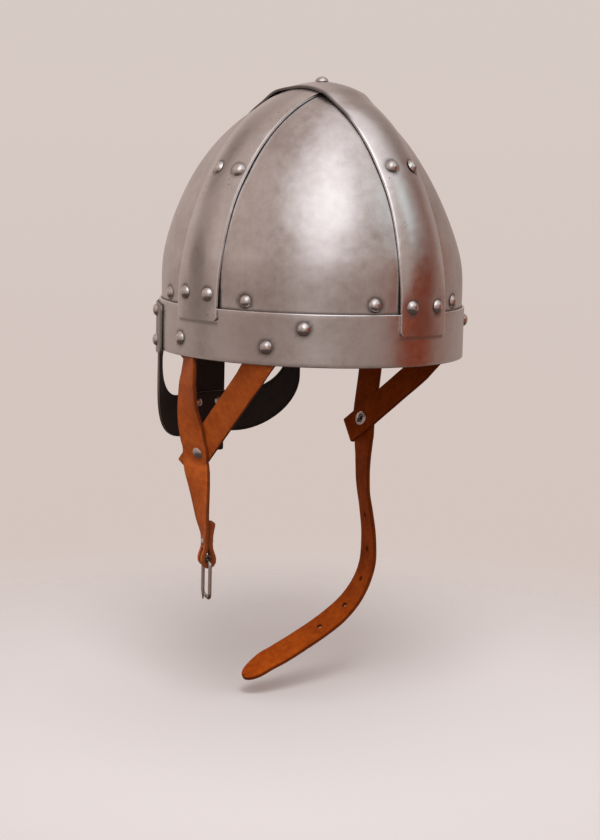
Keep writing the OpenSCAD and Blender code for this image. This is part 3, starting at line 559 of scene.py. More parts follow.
def steel(name, grime_and_shade=None, wear_and_light=None, base=STEEL, deep=STEEL_DEEP, rough=0.3, grain=(1, 1, 0.12),
          pits=None):
    """Satin steel. Its masks take the position in mm and give 0 to 1: grime with painted shade, wear with
    painted light, pits.
    """
    material, wire, shader, place = new_material(name)
    broad = place.cloud(0.03, 3.0, 0.6)
    cloudy = place.cloud(0.16, 4.0, 0.65)
    brushed = place.stretched(*grain).cloud(2.2, 5.0, 0.7)
    shaken = place.node("ShaderNodeVectorMath", {"operation": "ADD"}, at0=place,
                        at1=place.node("ShaderNodeTexNoise", out=1, Vector=place, Scale=0.9, Detail=2.0))
    spots = place.node("ShaderNodeTexVoronoi", {"feature": "F1"}, Vector=shaken, Scale=0.36, Randomness=1.0)
    pitted = (1 - spots.step(0.12, 0.32)) * place.cloud(0.05, 2.0).step(0.55, 0.64)
    pitted = pitted * (pits(place) if pits else 0.0)
    tone = (broad * 0.45 + cloudy * 0.35 + brushed * 0.2).step(0.32, 0.66)
    colour = tone.between(deep, base)
    # Dark marks: pits, then dirt and painted shade round rivets and in hollows, then the mask's grime and
    # shade.
    dirt_and_shade = pitted.most(0.8 * wire.noted("soil") * (0.5 + cloudy).least(1.0))
    if grime_and_shade is not None:
        dirt_and_shade = dirt_and_shade.most(grime_and_shade(place) * (0.72 + 0.5 * cloudy).least(1.0))
    colour = dirt_and_shade.between(colour, GRIME_AND_SHADE)
    gloss = rough + 0.10 * (brushed - 0.5) + 0.16 * (cloudy - 0.5) + 0.25 * dirt_and_shade
    # Wear lightens the rims, and painted light lightens the band flanges.
    if wear_and_light is not None:
        rubbed_and_lit = wear_and_light(place) * (0.35 + 1.2 * cloudy).least(1.0)
        colour = rubbed_and_lit.between(colour, STEEL_WORN_AND_LIT)
        gloss = gloss - 0.10 * rubbed_and_lit
    wire.feed(shader["Base Color"], colour)
    wire.feed(shader["Roughness"], gloss.most(0.18).least(0.75))
    shader["Metallic"].default_value = 1.0
    waves = place.cloud(0.05, 2.0, 0.45).bumps(0.5 * MM)
    fine = (brushed * 0.7 + place.cloud(1.4, 3.0) * 0.3 - pitted * 4.0).bumps(0.010 * MM, waves)
    wire.feed(shader["Normal"], fine)
    return material


def height_of(place):
    return place.parts()[2]


def band_line(place):
    """Y of the cross band's middle at each height, as the skull's own rule gives it."""
    u = ((height_of(place) - SPRING) / (PEAK - SPRING)).most(0.0).least(1.0)
    squared = u * u
    return LEAN * squared * squared * u + 4 * CROSS_BOW * squared * (1 - squared)


def half_line(place):
    """Half the width of a band at each height."""
    return BAND_HALF - TAPER * height_of(place).step(TAPER_LOW, TAPER_HIGH)


def shade_and_grime_beside_bands(place):
    """Grime and painted shade on the plates: a dark line along each band and just over the brow band."""
    x, y, z = place.parts()
    from_band = abs(x).least(abs(y - band_line(place))) - half_line(place)
    over_brow = 1 - z.step(BROW_HEIGHT + 0.1, BROW_HEIGHT + 2.2)
    # Grime and painted shade where the plates meet the bands and the brow band.
    return (0.4 * (1 - from_band.step(0.0, 0.9))).most(0.75 * over_brow)


def long_line(place):
    return abs(place.parts()[0])


def cross_line(place):
    return abs(place.parts()[1] - band_line(place))


def worn_rims_and_lit_flanges(line):
    """Wear on a band's rims, and painted light on its flanges. line gives the distance from the band's
    middle.
    """
    def mask(place):
        inside = half_line(place) - line(place)
        rim = inside.step(0.9, 0.25)
        if line is long_line:
            rim = rim * (1 - height_of(place).step(158, 168))
        # Rubbed rims, and a lighter tone painted on the flanges, as light.
        return (0.75 * rim).most(0.22 * inside.step(10.0, 3.0))
    return mask


def band_shade_and_grime(line):
    """Painted shade darkens a band's crown and the upper band's edges at the peak; grime and shade its foot.
    """
    def mask(place):
        off, height = line(place), height_of(place)
        # The crown is painted darker than its flanks, as shade.
        painted_shade = (1 - off.step(5.0, 11.0)) * (0.14 + 0.08 * (1 - height.step(60, 110)))
        # Near the foot it darkens in clouds: grime with painted shade.
        foot = 0.16 * (1 - height.step(46, 60)) * place.cloud(0.08, 2.0).step(0.35, 0.6)
        if line is long_line:
            # The upper band's side face is painted dark above the crossing gap, as shade.
            painted_shade = painted_shade.most(0.85 * (half_line(place) - off).step(0.8, 0.3) * height.step(150, 162))
        return painted_shade.most(foot)
    return mask


def brow_wear(place):
    z = height_of(place)
    return (0.8 * z.step(BROW_HEIGHT - 0.9, BROW_HEIGHT - 0.2)).most(0.6 * (1 - z.step(0.3, 1.2)))


def shade_under_feet(place):
    """Painted shade on the brow band, just under the feet of the bands."""
    x, y, z = place.parts()

    def under(across, foot):
        # A strip painted dark just under each band's foot, as shade.
        below = (1 - z.step(foot - 1.5, foot + 0.5)) * z.step(foot - 4.0, foot - 1.0)
        return 0.5 * below * (1 - abs(across).step(BAND_HALF - 1.0, BAND_HALF + 1.5))

    return under(x, LONG_FOOT).most(under(y, CROSS_FOOT))


def band_steel(name, line):
    return steel(name, band_shade_and_grime(line), worn_rims_and_lit_flanges(line), rough=0.27,
                 pits=lambda place: 0.6 * line(place).step(6.0, 13.0))


PLATE_STEEL = steel("plate_steel", shade_and_grime_beside_bands, base=(0.635, 0.598, 0.583), deep=(0.465, 0.42, 0.40),
                    rough=0.31)
LONG_STEEL = band_steel("long_band_steel", long_line)
CROSS_STEEL = band_steel("cross_band_steel", cross_line)
BROW_STEEL = steel("brow_steel", shade_under_feet, brow_wear, rough=0.29, grain=(0.12, 0.12, 1))
print("four steels for the skull")

# %% [markdown]
# Each of the four plates fills a quarter between the bands. It tucks in behind the brow band and
# swells out over it. A grid with a millimetre or two between its points is fine enough to carry the
# hammered waves and the dish round every rivet as real shape.

# %% Skull plates
PLATE_FOOT, PLATE_SEAM, PLATE_EYE = 3.0, 1.0, 9.0
PLATE_COLS = 68


def plate_heights():
    last = math.degrees(math.acos((PLATE_EYE / HALF_WIDTH) ** (POWER / 2)))
    upper = curve_height(np.linspace(7.0, last, 78))
    return np.concatenate([np.linspace(PLATE_FOOT, BROW_HEIGHT - 1, 8),
                           np.linspace(BROW_HEIGHT, upper[0], 16)[:-1], upper])


def metal_sheet(name, outer, ways):
    """A closed sheet inwards from a grid of outer points."""
    inner = outer - ways * SHEET
    both = settled(np.concatenate([outer.reshape(-1, 3), inner.reshape(-1, 3)]))
    piece = new_object(name, both, sheet_faces(*outer.shape[:2]))
    turn_out(piece)
    return piece


def skull_plate(name, start, seed):
    angles = np.linspace(start + 90 - PLATE_SEAM, start + PLATE_SEAM, PLATE_COLS)[None, :]
    heights = plate_heights()[:, None]
    base = skull(angles, heights)
    ways = normal_at(base)
    outer = base + ways * tuck(heights)[..., None]
    centres = close_to(outer, DISHED)
    calm = step(heights, BROW_HEIGHT, BROW_HEIGHT + 20)[..., None]
    raised = wavy(outer, ways, 38.0, 0.38, seed)
    raised = wavy(raised, ways, 15.0, 0.06, seed + 9)
    outer = dished(outer + (raised - outer) * calm, ways, centres)
    piece = metal_sheet(name, outer, ways)
    mark_soil(piece)
    return finish_piece(piece, PLATE_STEEL, "root", [name])


QUARTERS = {"plate_front_left": 0, "plate_back_left": 90, "plate_back_right": 180, "plate_front_right": 270}
for seed, (name, start) in enumerate(QUARTERS.items()):
    skull_plate(name, start, seed)
print("four plates of", len(plate_heights()), "by", PLATE_COLS, "points a face")

# %% [markdown]
# The bands run from one foot over the peak to the other. Each is crowned, so its middle stands proud
# of its edges, and the crown dies out at the feet and under the crossing. There the long band climbs
# over the other. On its left front edge it doesn't quite lie down again, and that leaves a dark gap.

# %% Crossing bands
CROWN_LAP, CROSSING_GAP, CROSSING_HALF = 0.2, 0.4, 27.0
FOOT_CORNER, GAP_LIFT, BAND_COLS = 3.0, 1.9, 43


def band_stations(side):
    foot = band_foot(side) + np.array([0, 0.15, 0.5, 1.1, 1.9, 3.0, 4.5, 6.5, 8.5, 10.5])
    return np.concatenate([foot, curve_height(np.arange(0.5, 89.6, 1.0))])


def band_half_at(side, z):
    """Half a band's width at a height, with the corners of its foot rounded off."""
    miss = np.clip(FOOT_CORNER - (z - band_foot(side)), 0, FOOT_CORNER)
    narrower = TAPER * step(z, TAPER_LOW, TAPER_HIGH)
    return BAND_HALF - narrower - (FOOT_CORNER - np.sqrt(FOOT_CORNER ** 2 - miss ** 2))


def band_half_grid(side, lifted, seed):
    """Outer points of half a band, from its foot to the peak, and their directions."""
    z = band_stations(side)[:, None]
    across = np.linspace(-1, 1, BAND_COLS)
    across = np.sign(across) * (1 - (1 - np.abs(across)) ** 1.15)
    facing = 1 if side in (0, 90) else -1
    s = band_half_at(side, z) * across[None, :] * facing
    base = on_band(side, z, s)
    ways = normal_at(base)
    away = from_peak(side, z)
    height = LAP + CROWN_LAP * (1 - step(away, CROSSING_HALF, CROSSING_HALF + 30))
    if lifted:
        height = height + (SHEET + CROSSING_GAP) * (1 - step(away, BAND_HALF + 2, BAND_HALF + 20))
    height = height + crown(side, z, s)
    if side == 0:
        reach = step(away, 8, 32) * (1 - step(away, 46, 86))
        height = height + GAP_LIFT * reach * step(s, 5, 19)
    outer = base + ways * (height + SHEET)[..., None]
    calm = step(np.abs(s), BAND_HALF + 2, BAND_HALF - 3)[..., None] * 0.6 + 0.4
    outer = outer + (wavy(outer, ways, 20.0, 0.14, seed) - outer) * calm
    centres = close_to(outer, [p for p, _ in MID_PLACES + FOOT_PLACES])
    return dished(outer, ways, centres), ways


def crossing_band(name, side, lifted, material, seed):
    first, second = band_half_grid(side, lifted, seed), band_half_grid(side + 180, lifted, seed + 3)
    outer, ways = (np.concatenate([a, b[::-1, ::-1]]) for a, b in zip(first, second))
    piece = metal_sheet(name, outer, ways)
    round_edges(piece, 0.55, 3)
    mark_soil(piece)
    return finish_piece(piece, material, "root", [name])


crossing_band("long_band", 0, True, LONG_STEEL, 21)
crossing_band("cross_band", 90, False, CROSS_STEEL, 31)
print("two bands,", len(band_stations(0)), "rows from each foot")

# %% [markdown]
# Rings such as the brow band, the lining's band and the wire of the buckle are a small outline swept
# along a closed path. One function sweeps an outline along any path, another keeps it level and
# takes it round the skull.

# %% Sweeping
def swept(name, centres, sides, ups, section, closed=True):
    """Sweeps a closed section of (side, up) points along a path. Open sweeps get end caps."""
    section = np.asarray(section, float)
    if section.ndim == 2:
        section = np.broadcast_to(section, (len(centres), *section.shape))
    points = centres[:, None] + section[..., :1] * sides[:, None] + section[..., 1:] * ups[:, None]
    rows, cols = points.shape[:2]
    faces = list(grid_faces(rows, cols, wrap_rows=closed, wrap_cols=True))
    if not closed:
        faces += [list(range(cols)), [(rows - 1) * cols + i for i in range(cols)][::-1]]
    piece = new_object(name, points.reshape(-1, 3), faces)
    turn_out(piece)
    return piece


def along(points, closed=False, up=(0, 0, 1)):
    """Tangent frames of a path: for each point a sideways and an upward direction."""
    points = np.asarray(points, float)
    if closed:
        tangent = unit(np.roll(points, -1, 0) - np.roll(points, 1, 0))
    else:
        tangent = unit(np.gradient(points, axis=0))
    side = np.cross(tangent, np.asarray(up, float))
    poor = np.linalg.norm(side, axis=-1) < 1e-3
    side[poor] = np.cross(tangent[poor], [0.3, 1, 0.2])
    side = unit(side)
    return side, np.cross(side, tangent)


def full_turn(steps):
    return np.linspace(0, 2 * np.pi, steps, endpoint=False)


def circle(radius, steps=14):
    turn = full_turn(steps)
    return radius * np.stack([np.cos(turn), np.sin(turn)], -1)


def tube(name, points, radius, closed=False, up=(0, 0, 1), steps=14):
    points = np.asarray(points, float)
    side, over = along(points, closed, up)
    return swept(name, points, side, over, circle(radius, steps), closed)


def arc_points(centre, radius, start, end, steps=10):
    turn = np.radians(np.linspace(start, end, steps))
    return [[centre[0] + radius * math.cos(a), centre[1] + radius * math.sin(a)] for a in turn]


def hoop_section(inner, outer, low, high, corner, rows):
    """Outline of a hoop's cut, as (outwards, height), rounded at its four edges."""
    heights = np.linspace(low + corner, high - corner, rows)[1:-1]
    outside, inside = [[outer, z] for z in heights], [[inner, z] for z in heights[::-1]]
    return np.array(arc_points([outer - corner, low + corner], corner, -90, 0, 4) + outside
                    + arc_points([outer - corner, high - corner], corner, 0, 90, 4)
                    + arc_points([inner + corner, high - corner], corner, 90, 180, 4) + inside
                    + arc_points([inner + corner, low + corner], corner, 180, 270, 4))


def hoop(name, section, size, wave, seed, steps=300):
    """Takes a section round the skull and makes it a little uneven."""
    angles = np.linspace(0, 360, steps, endpoint=False)
    centres = skull(angles, 0.0 * angles)
    ways = normal_at(centres)
    points = centres[:, None] + section[:, :1] * ways[:, None] + section[:, 1:] * UP
    cols = points.shape[1]
    points = wavy(points, np.repeat(ways[:, None], cols, 1), size, wave, seed)
    faces = grid_faces(steps, cols, wrap_rows=True, wrap_cols=True)
    piece = new_object(name, points.reshape(-1, 3), faces)
    turn_out(piece)
    return piece


brow = hoop("brow_band", hoop_section(-SHEET, 0, 0, BROW_HEIGHT, 0.6, 14), 30.0, 0.14, 41)
mark_soil(brow)
finish_piece(brow, BROW_STEEL, "root", ["brow_band"])
print("the brow band is", round(2 * HALF_LENGTH), "by", round(2 * HALF_WIDTH), "mm")

# %% [markdown]
# The face guard, the nasal bar and all the leather are cut flat and then bent. We do the same: an
# outline with holes is filled with triangles in the flat, given a thickness with rounded edges, and
# carried into space by a bending rule. Each point keeps its flat place as a texture coordinate, and
# notes whether it lies on the cut edge and on which face, so that the finish can tell them apart.

# %% Cutting sheets
def divided(loop, spacing):
    """A closed loop with extra points, so that no two are further apart than spacing."""
    loop = np.asarray(loop, float)
    out = []
    for a, b in zip(loop, np.roll(loop, -1, 0)):
        count = max(1, math.ceil(np.linalg.norm(b - a) / spacing))
        out += [a + (b - a) * i / count for i in range(count)]
    return np.array(out)


def turned(loop, anticlockwise):
    """The loop in the order asked for."""
    x, y = loop.T
    area = np.sum(x * np.roll(y, -1) - np.roll(x, -1) * y)
    return loop if (area > 0) == anticlockwise else loop[::-1]


def drawn_in(loop, amount):
    """The loop moved to its left, which is the side of the material."""
    a, b = unit(loop - np.roll(loop, 1, 0)), unit(np.roll(loop, -1, 0) - loop)
    left_a, left_b = np.stack([-a[:, 1], a[:, 0]], -1), np.stack([-b[:, 1], b[:, 0]], -1)
    mitre = unit(left_a + left_b)
    return loop + mitre * amount / np.maximum(dot(mitre, left_a), 0.5)


def inside(points, loop):
    """Which points lie inside a closed loop."""
    hit = np.zeros(len(points), bool)
    for (ax, ay), (bx, by) in zip(loop, np.roll(loop, -1, 0)):
        crosses = (ay > points[:, 1]) != (by > points[:, 1])
        with np.errstate(divide="ignore", invalid="ignore"):
            edge_x = (bx - ax) * (points[:, 1] - ay) / (by - ay) + ax
        hit ^= crosses & (points[:, 0] < edge_x)
    return hit


def in_material(points, outline, holes):
    keep = inside(points, outline)
    for hole in holes:
        keep &= ~inside(points, hole)
    return keep


def filled(outline, holes, spacing):
    """Triangles over an outline with holes. The loops' points come first, in order."""
    loops = [outline, *holes]
    columns, rows = (np.arange(low + spacing / 2, high, spacing)
                     for low, high in zip(outline.min(0), outline.max(0)))
    grid = np.stack(np.meshgrid(columns, rows), -1).reshape(-1, 2)
    grid = grid[in_material(grid, outline, holes)]
    border = np.concatenate(loops)
    clear = np.array([np.min(np.sum((border - g) ** 2, -1)) for g in grid])
    points = np.concatenate([border, grid[clear > (0.6 * spacing) ** 2]])
    edges, start = [], 0
    for loop in loops:
        edges += [(start + i, start + (i + 1) % len(loop)) for i in range(len(loop))]
        start += len(loop)
    made = delaunay_2d_cdt([Vector(p) for p in points], edges, [], 2, 1e-6)
    first = [source[0] if source else -1 for source in made[3]]
    triangles = np.array([[first[i] for i in face] for face in made[2] if len(face) == 3])
    triangles = triangles[(triangles >= 0).all(1)]
    return points, triangles[in_material(points[triangles].mean(1), outline, holes)]


def flat_map(piece, places, outer, edge):
    """Gives leather or forged steel its flat place and the two marks that its finish reads."""
    mesh = piece.data
    corners = np.zeros(len(mesh.loops), np.int32)
    mesh.loops.foreach_get("vertex_index", corners)
    spread = (places[corners] * 0.01).astype(np.float32)
    mesh.uv_layers.new(name="flat").data.foreach_set("uv", spread.ravel())
    note(piece, "cut_edge", edge)
    note(piece, "outer_face", outer)


def cut_sheet(name, outline, holes, thick, bend, spacing=3.0, corner=0.4):
    """A flat outline with holes, made thick with rounded edges and bent by bend(u, v, depth)."""
    outline = turned(divided(outline, spacing), True)
    holes = [turned(divided(hole, spacing), False) for hole in holes]
    loops = [outline, *holes]
    flat, triangles = filled(drawn_in(outline, corner), [drawn_in(hole, corner) for hole in holes], spacing)
    n, half = len(flat), thick / 2
    places = [np.column_stack([flat, np.full(n, half)]), np.column_stack([flat, np.full(n, -half)])]
    edge = [np.zeros(n), np.zeros(n)]
    count = sum(len(loop) for loop in loops)
    edge[0][:count] = edge[1][:count] = 0.45
    faces = [*triangles, *(triangles[:, ::-1] + n)]
    start, used = 2 * n, 0
    bow = corner * (1 - math.sin(math.pi / 4))
    for loop in loops:
        m = len(loop)
        rings = [np.arange(used, used + m)]
        for move, depth in ((bow, half - bow), (0, half - corner), (0, corner - half), (bow, bow - half)):
            places.append(np.column_stack([drawn_in(loop, move), np.full(m, depth)]))
            edge.append(np.ones(m))
            rings.append(np.arange(start, start + m))
            start += m
        rings.append(np.arange(used, used + m) + n)
        for a, b in zip(rings, rings[1:]):
            faces += list(np.stack([a, b, np.roll(b, -1), np.roll(a, -1)], -1))
        used += m
    places = np.concatenate(places)
    piece = new_object(name, bend(places[:, 0], places[:, 1], places[:, 2]), faces)
    flat_map(piece, places[:, :2], np.clip(places[:, 2] / thick + 0.5, 0, 1), np.concatenate(edge))
    turn_out(piece)
    return piece


print("outlines can be cut, thickened and bent")

# %% [markdown]
# The guard and the nasal bar are drawn as they look from the front, then bent round the brow. Their
# outer faces are polished like the skull. The inner faces keep the black skin of the forge, which
# is why they look so dark from behind.

# %% Face guard and nasal bar
GUARD_DEPTH, GUARD_CORNER, GUARD_RIM_HALF = 73.5, 42.0, 68.0
GUARD_TOP, GUARD_MIDDLE, GUARD_DROP, GUARD_END = 32.0, 20.0, 3.0, 63.1
EYE_HALF, EYE_TOP, EYE_BOTTOM, EYE_CORNER, EYE_UPPER = 60.0, 4.0, 42.0, 28.0, 8.0
NOSE_HALF, NOSE_TIP, NOSE_TOP, NOSE_CUT = 16.5, 88.0, 33.0, 4.0
TAB_CORNER, TAB_BULGE = 2.5, 0.6
BEND_RADIUS = 107.0


def from_front(points, offset):
    """Points seen from the front, with x turned into the way round the brow."""
    points = np.array(points, float)
    points[:, 0] = BEND_RADIUS * np.arcsin(np.clip(points[:, 0] / (HALF_WIDTH + offset), -1, 1))
    return points


def round_brow(offset):
    def bend(u, v, depth):
        base = skull(np.degrees(u / BEND_RADIUS), 0 * v)
        ways = normal_at(base)
        moved = base + ways * (offset + depth)[:, None]
        return wavy(moved + np.outer(v, UP), ways, 26.0, 0.25, 51)
    return bend


def guard_outline(offset):
    reach = (HALF_WIDTH + offset) * math.sin(math.radians(GUARD_END))
    top = []
    for x in np.linspace(TAB_CORNER - reach, reach - TAB_CORNER, 60):
        share = float(step(abs(x), BAND_HALF, BAND_HALF + 28))
        top.append([x, GUARD_MIDDLE + (GUARD_TOP - GUARD_MIDDLE) * share])
    tab = [[reach - TAB_BULGE, GUARD_TOP - TAB_BULGE], [reach, GUARD_TOP - TAB_CORNER],
           [reach, TAB_CORNER - GUARD_DROP], [reach - TAB_BULGE, TAB_BULGE - GUARD_DROP],
           [reach - TAB_CORNER, -GUARD_DROP], [GUARD_RIM_HALF, -GUARD_DROP]]
    rim_centre = [GUARD_RIM_HALF - GUARD_CORNER, GUARD_CORNER - GUARD_DEPTH]
    right = tab + arc_points(rim_centre, GUARD_CORNER, 0, -90, 26)
    return from_front(top + right + [[-x, z] for x, z in right[::-1]], offset)


def eye_hole(offset):
    up, top = EYE_HALF - EYE_UPPER, -EYE_TOP - EYE_UPPER
    x, low = EYE_HALF - EYE_CORNER, EYE_CORNER - EYE_BOTTOM
    left = arc_points([up, top], EYE_UPPER, 90, 0, 8) + arc_points([x, low], EYE_CORNER, 0, -90, 18)
    right = arc_points([-x, low], EYE_CORNER, -90, -180, 18) + arc_points([-up, top], EYE_UPPER, 180, 90, 8)
    return from_front(left + right, offset)


def nose_outline(offset):
    tip = [[NOSE_HALF - 1.5, -NOSE_TIP], [NOSE_HALF - 0.4, 0.4 - NOSE_TIP], [NOSE_HALF, 1.5 - NOSE_TIP]]
    top = [[NOSE_HALF, NOSE_TOP - NOSE_CUT], [NOSE_HALF - NOSE_CUT, NOSE_TOP]]
    right = tip + top
    left = [[-x, z] for x, z in right[::-1]]
    return from_front(left[2:] + right + left[:2], offset)


def forged(name):
    """Steel that is polished outside, dark with scale inside and bright along its filed edge."""
    material, wire, shader, place = new_material(name)
    edge, polish = wire.noted("cut_edge"), wire.noted("outer_face").step(0.35, 0.65)
    cloudy, brushed = place.cloud(0.14, 4.0, 0.6), place.stretched(0.2, 0.2, 1).cloud(2.0, 4.0, 0.7)
    bare = (cloudy * 0.6 + brushed * 0.4).step(0.3, 0.7).between((0.22, 0.195, 0.185), (0.40, 0.37, 0.35))
    scale = cloudy.step(0.3, 0.7).between((0.010, 0.007, 0.006), (0.028, 0.020, 0.016))
    colour = edge.step(0.5, 0.95).between(polish.between(scale, bare), (0.30, 0.27, 0.25))
    wire.feed(shader["Base Color"], colour)
    wire.feed(shader["Roughness"], (0.62 - 0.24 * polish + 0.2 * (cloudy - 0.5)).most(0.25))
    wire.feed(shader["Metallic"], (0.2 + 0.8 * polish.most(edge)).least(1.0))
    dents = place.cloud(0.4, 4.0, 0.6) * 0.7 + brushed * 0.1
    wire.feed(shader["Normal"], dents.bumps(0.25 * MM))
    return material


GUARD_STEEL = forged("guard_steel")
guard_middle, nose_middle = LAP + GUARD_SHEET / 2, NASAL_IN + NASAL_SHEET / 2
guard = cut_sheet("face_guard", guard_outline(guard_middle), [eye_hole(guard_middle)], GUARD_SHEET,
                  round_brow(guard_middle), 3.0, 0.45)
finish_piece(guard, GUARD_STEEL, "root", ["face_guard"])
nasal = cut_sheet("nasal_bar", nose_outline(nose_middle), [], NASAL_SHEET, round_brow(nose_middle), 2.5, 0.5)
finish_piece(nasal, GUARD_STEEL, "root", ["nasal_bar"])
print("guard", len(guard.data.vertices), "points, nasal bar", len(nasal.data.vertices))

# %% [markdown]
# A rivet is turned once on the lathe, with a head, a shank and a clenched tail. Its dome is a piece of
# a ball, flattened a little in the middle by the last blows, and noise makes it less than perfect.

# %% Rivet shapes
HEAD_H, SHANK_R, TAIL_R, TAIL_H = 3.05, 1.9, 3.1, 1.0


def lathed(name, profile, steps=36, uneven=0.0, seed=0):
    """Turns a profile of (radius, height) points round Z. It starts and ends on the axis."""
    turn = full_turn(steps)
    points = [[0, 0, profile[0][1]]]
    for radius, height in profile[1:-1]:
        points += [[radius * math.cos(a), radius * math.sin(a), height] for a in turn]
    points = np.array(points + [[0, 0, profile[-1][1]]])
    if uneven:
        start = Vector((seed, 0, 0))
        points = points + uneven * np.array([noise.noise_vector(Vector(p) * 0.35 + start) for p in points])
    rows, last = len(profile) - 2, len(points) - 1
    faces = [list(f) for f in grid_faces(rows, steps, start=1, wrap_cols=True)]
    faces += [[0, 1 + (i + 1) % steps, 1 + i] for i in range(steps)]
    low_ring = 1 + (rows - 1) * steps
    faces += [[last, low_ring + i, low_ring + (i + 1) % steps] for i in range(steps)]
    piece = new_object(name, points, faces)
    turn_out(piece)
    return piece


def rivet_profile(grip, radius=HEAD_R, height=HEAD_H, shank=SHANK_R, tail=TAIL_R):
    """Half outline of a rivet: a slightly flattened dome, its lip, the shank and the clenched tail."""
    ball = (radius ** 2 + height ** 2) / (2 * height)
    low = math.acos((ball - height) / ball)
    dome = [(ball * math.sin(a), height - ball + ball * math.cos(a)) for a in np.linspace(0, low, 12)[:-1]]
    flat = [(r, h - 0.10 * math.exp(-(r / 1.6) ** 2)) for r, h in dome]
    lip = [(radius, 0.18), (radius - 0.08, 0.02), (radius - 0.4, 0)]
    clench = [(tail - 0.4, 0), (tail, 0.35), (tail - 0.1, 0.7), (tail - 0.6, TAIL_H),
              (tail * 0.4, TAIL_H + 0.05), (0, TAIL_H)]
    return flat + lip + [(shank, 0), (shank, -grip)] + [(r, -grip - depth) for r, depth in clench]


print("an ordinary rivet's outline has", len(rivet_profile(5)), "points")

# %% [markdown]
# Geometry Nodes then sets one rivet at every place, facing outwards, with a little random turn, tilt
# and size, because no two hammered heads are alike. The tree takes points that carry an outward
# direction. Its inputs are set by their sockets' identifiers, and it ends in real meshes.

# %% Setting rivets
FULL_TURN = 6.2832


def setting_tree():
    """Geometry Nodes: sets one copy of an object at every point, along the point's out direction."""
    tree = bpy.data.node_groups.new("set_rivets", "GeometryNodeTree")
    face = tree.interface
    face.new_socket("Geometry", in_out="OUTPUT", socket_type="NodeSocketGeometry")
    kinds = {"Geometry": "Geometry", "Rivet": "Object", "Smallest": "Float", "Largest": "Float",
             "Tilt": "Float", "Seed": "Int", "Finish": "Material"}
    sockets = {}
    for label, kind in kinds.items():
        made = face.new_socket(label, in_out="INPUT", socket_type="NodeSocket" + kind)
        sockets[label] = made.identifier
    wire = Wire(tree)
    given = tree.nodes.new("NodeGroupInput")
    inputs = {out.name: Wire(tree, out) for out in given.outputs if out.name}
    out = wire.node("GeometryNodeInputNamedAttribute", {"data_type": "FLOAT_VECTOR"}, Name="out")
    facing = wire.node("FunctionNodeAlignRotationToVector", {"axis": "Z"}, Vector=out)

    def chance(low, high, offset):
        """A random number for each point. Inputs 2 and 3 and output 1 are the node's plain numbers."""
        shuffled = wire.node("FunctionNodeRandomValue", {"data_type": "FLOAT"})
        node = shuffled.socket.node
        shuffled.feed(node.inputs[2], low)
        shuffled.feed(node.inputs[3], high)
        shuffled.feed(node.inputs["Seed"], inputs["Seed"] + offset)
        return Wire(tree, node.outputs[1])

    tilt = inputs["Tilt"]
    angles = wire.node("ShaderNodeCombineXYZ", X=chance(tilt * -1, tilt, 1), Y=chance(tilt * -1, tilt, 2),
                       Z=chance(0.0, FULL_TURN, 3))
    spin = wire.node("FunctionNodeEulerToRotation", Euler=angles)
    turned_way = wire.node("FunctionNodeRotateRotation", {"rotation_space": "LOCAL"}, Rotation=facing,
                           Rotate_By=spin)
    wide = chance(inputs["Smallest"], inputs["Largest"], 4)
    size = wire.node("ShaderNodeCombineXYZ", X=wide, Y=wide, Z=1.0)
    copied = wire.node("GeometryNodeObjectInfo", {"transform_space": "ORIGINAL"}, Object=inputs["Rivet"])
    shape = Wire(tree, copied.socket.node.outputs["Geometry"])
    placed = wire.node("GeometryNodeInstanceOnPoints", Points=inputs["Geometry"], Instance=shape,
                       Rotation=turned_way, Scale=size)
    real = wire.node("GeometryNodeRealizeInstances", Geometry=placed)
    done = wire.node("GeometryNodeSetMaterial", Geometry=real, Material=inputs["Finish"])
    result = tree.nodes.new("NodeGroupOutput")
    tree.links.new(done.socket, result.inputs[0])
    return tree, sockets


SETTING, SETTING_INPUTS = setting_tree()


def set_at(name, places, offset, source, material, seed, body="root", replaced=None, tilt=0.03, spread=0.03):
    """Sets the source object at places, each a point and its outward direction, offset in mm."""
    piece = new_object(name, [p + w * offset for p, w in places], [])
    ways = np.array([w for _, w in places], np.float32)
    piece.data.attributes.new("out", "FLOAT_VECTOR", "POINT").data.foreach_set("vector", ways.ravel())
    setter = piece.modifiers.new("set", "NODES")
    setter.node_group = SETTING
    given = {"Rivet": source, "Smallest": 1 - spread, "Largest": 1 + spread, "Tilt": tilt, "Seed": seed,
             "Finish": material}
    for label, value in given.items():
        setter[SETTING_INPUTS[label]] = value
    piece.update_tag()
    apply_modifiers(piece)
    bpy.data.objects.remove(source)
    return finish_piece(piece, material, body, replaced or [name], 50)


RIVET_STEEL = steel("rivet_steel", base=(0.68, 0.645, 0.63), deep=(0.52, 0.48, 0.46), rough=0.27,
                    grain=(1, 1, 1))


def rivets(name, places, offset, grip, seed, body="root", replaced=None, **sizes):
    """Rivets of one kind. grip is what they hold together, sizes depart from the ordinary rivet's."""
    source = lathed(name + "_pattern", rivet_profile(grip, **sizes), uneven=0.10, seed=seed)
    return set_at(name, places, offset, source, RIVET_STEEL, seed, body, replaced)


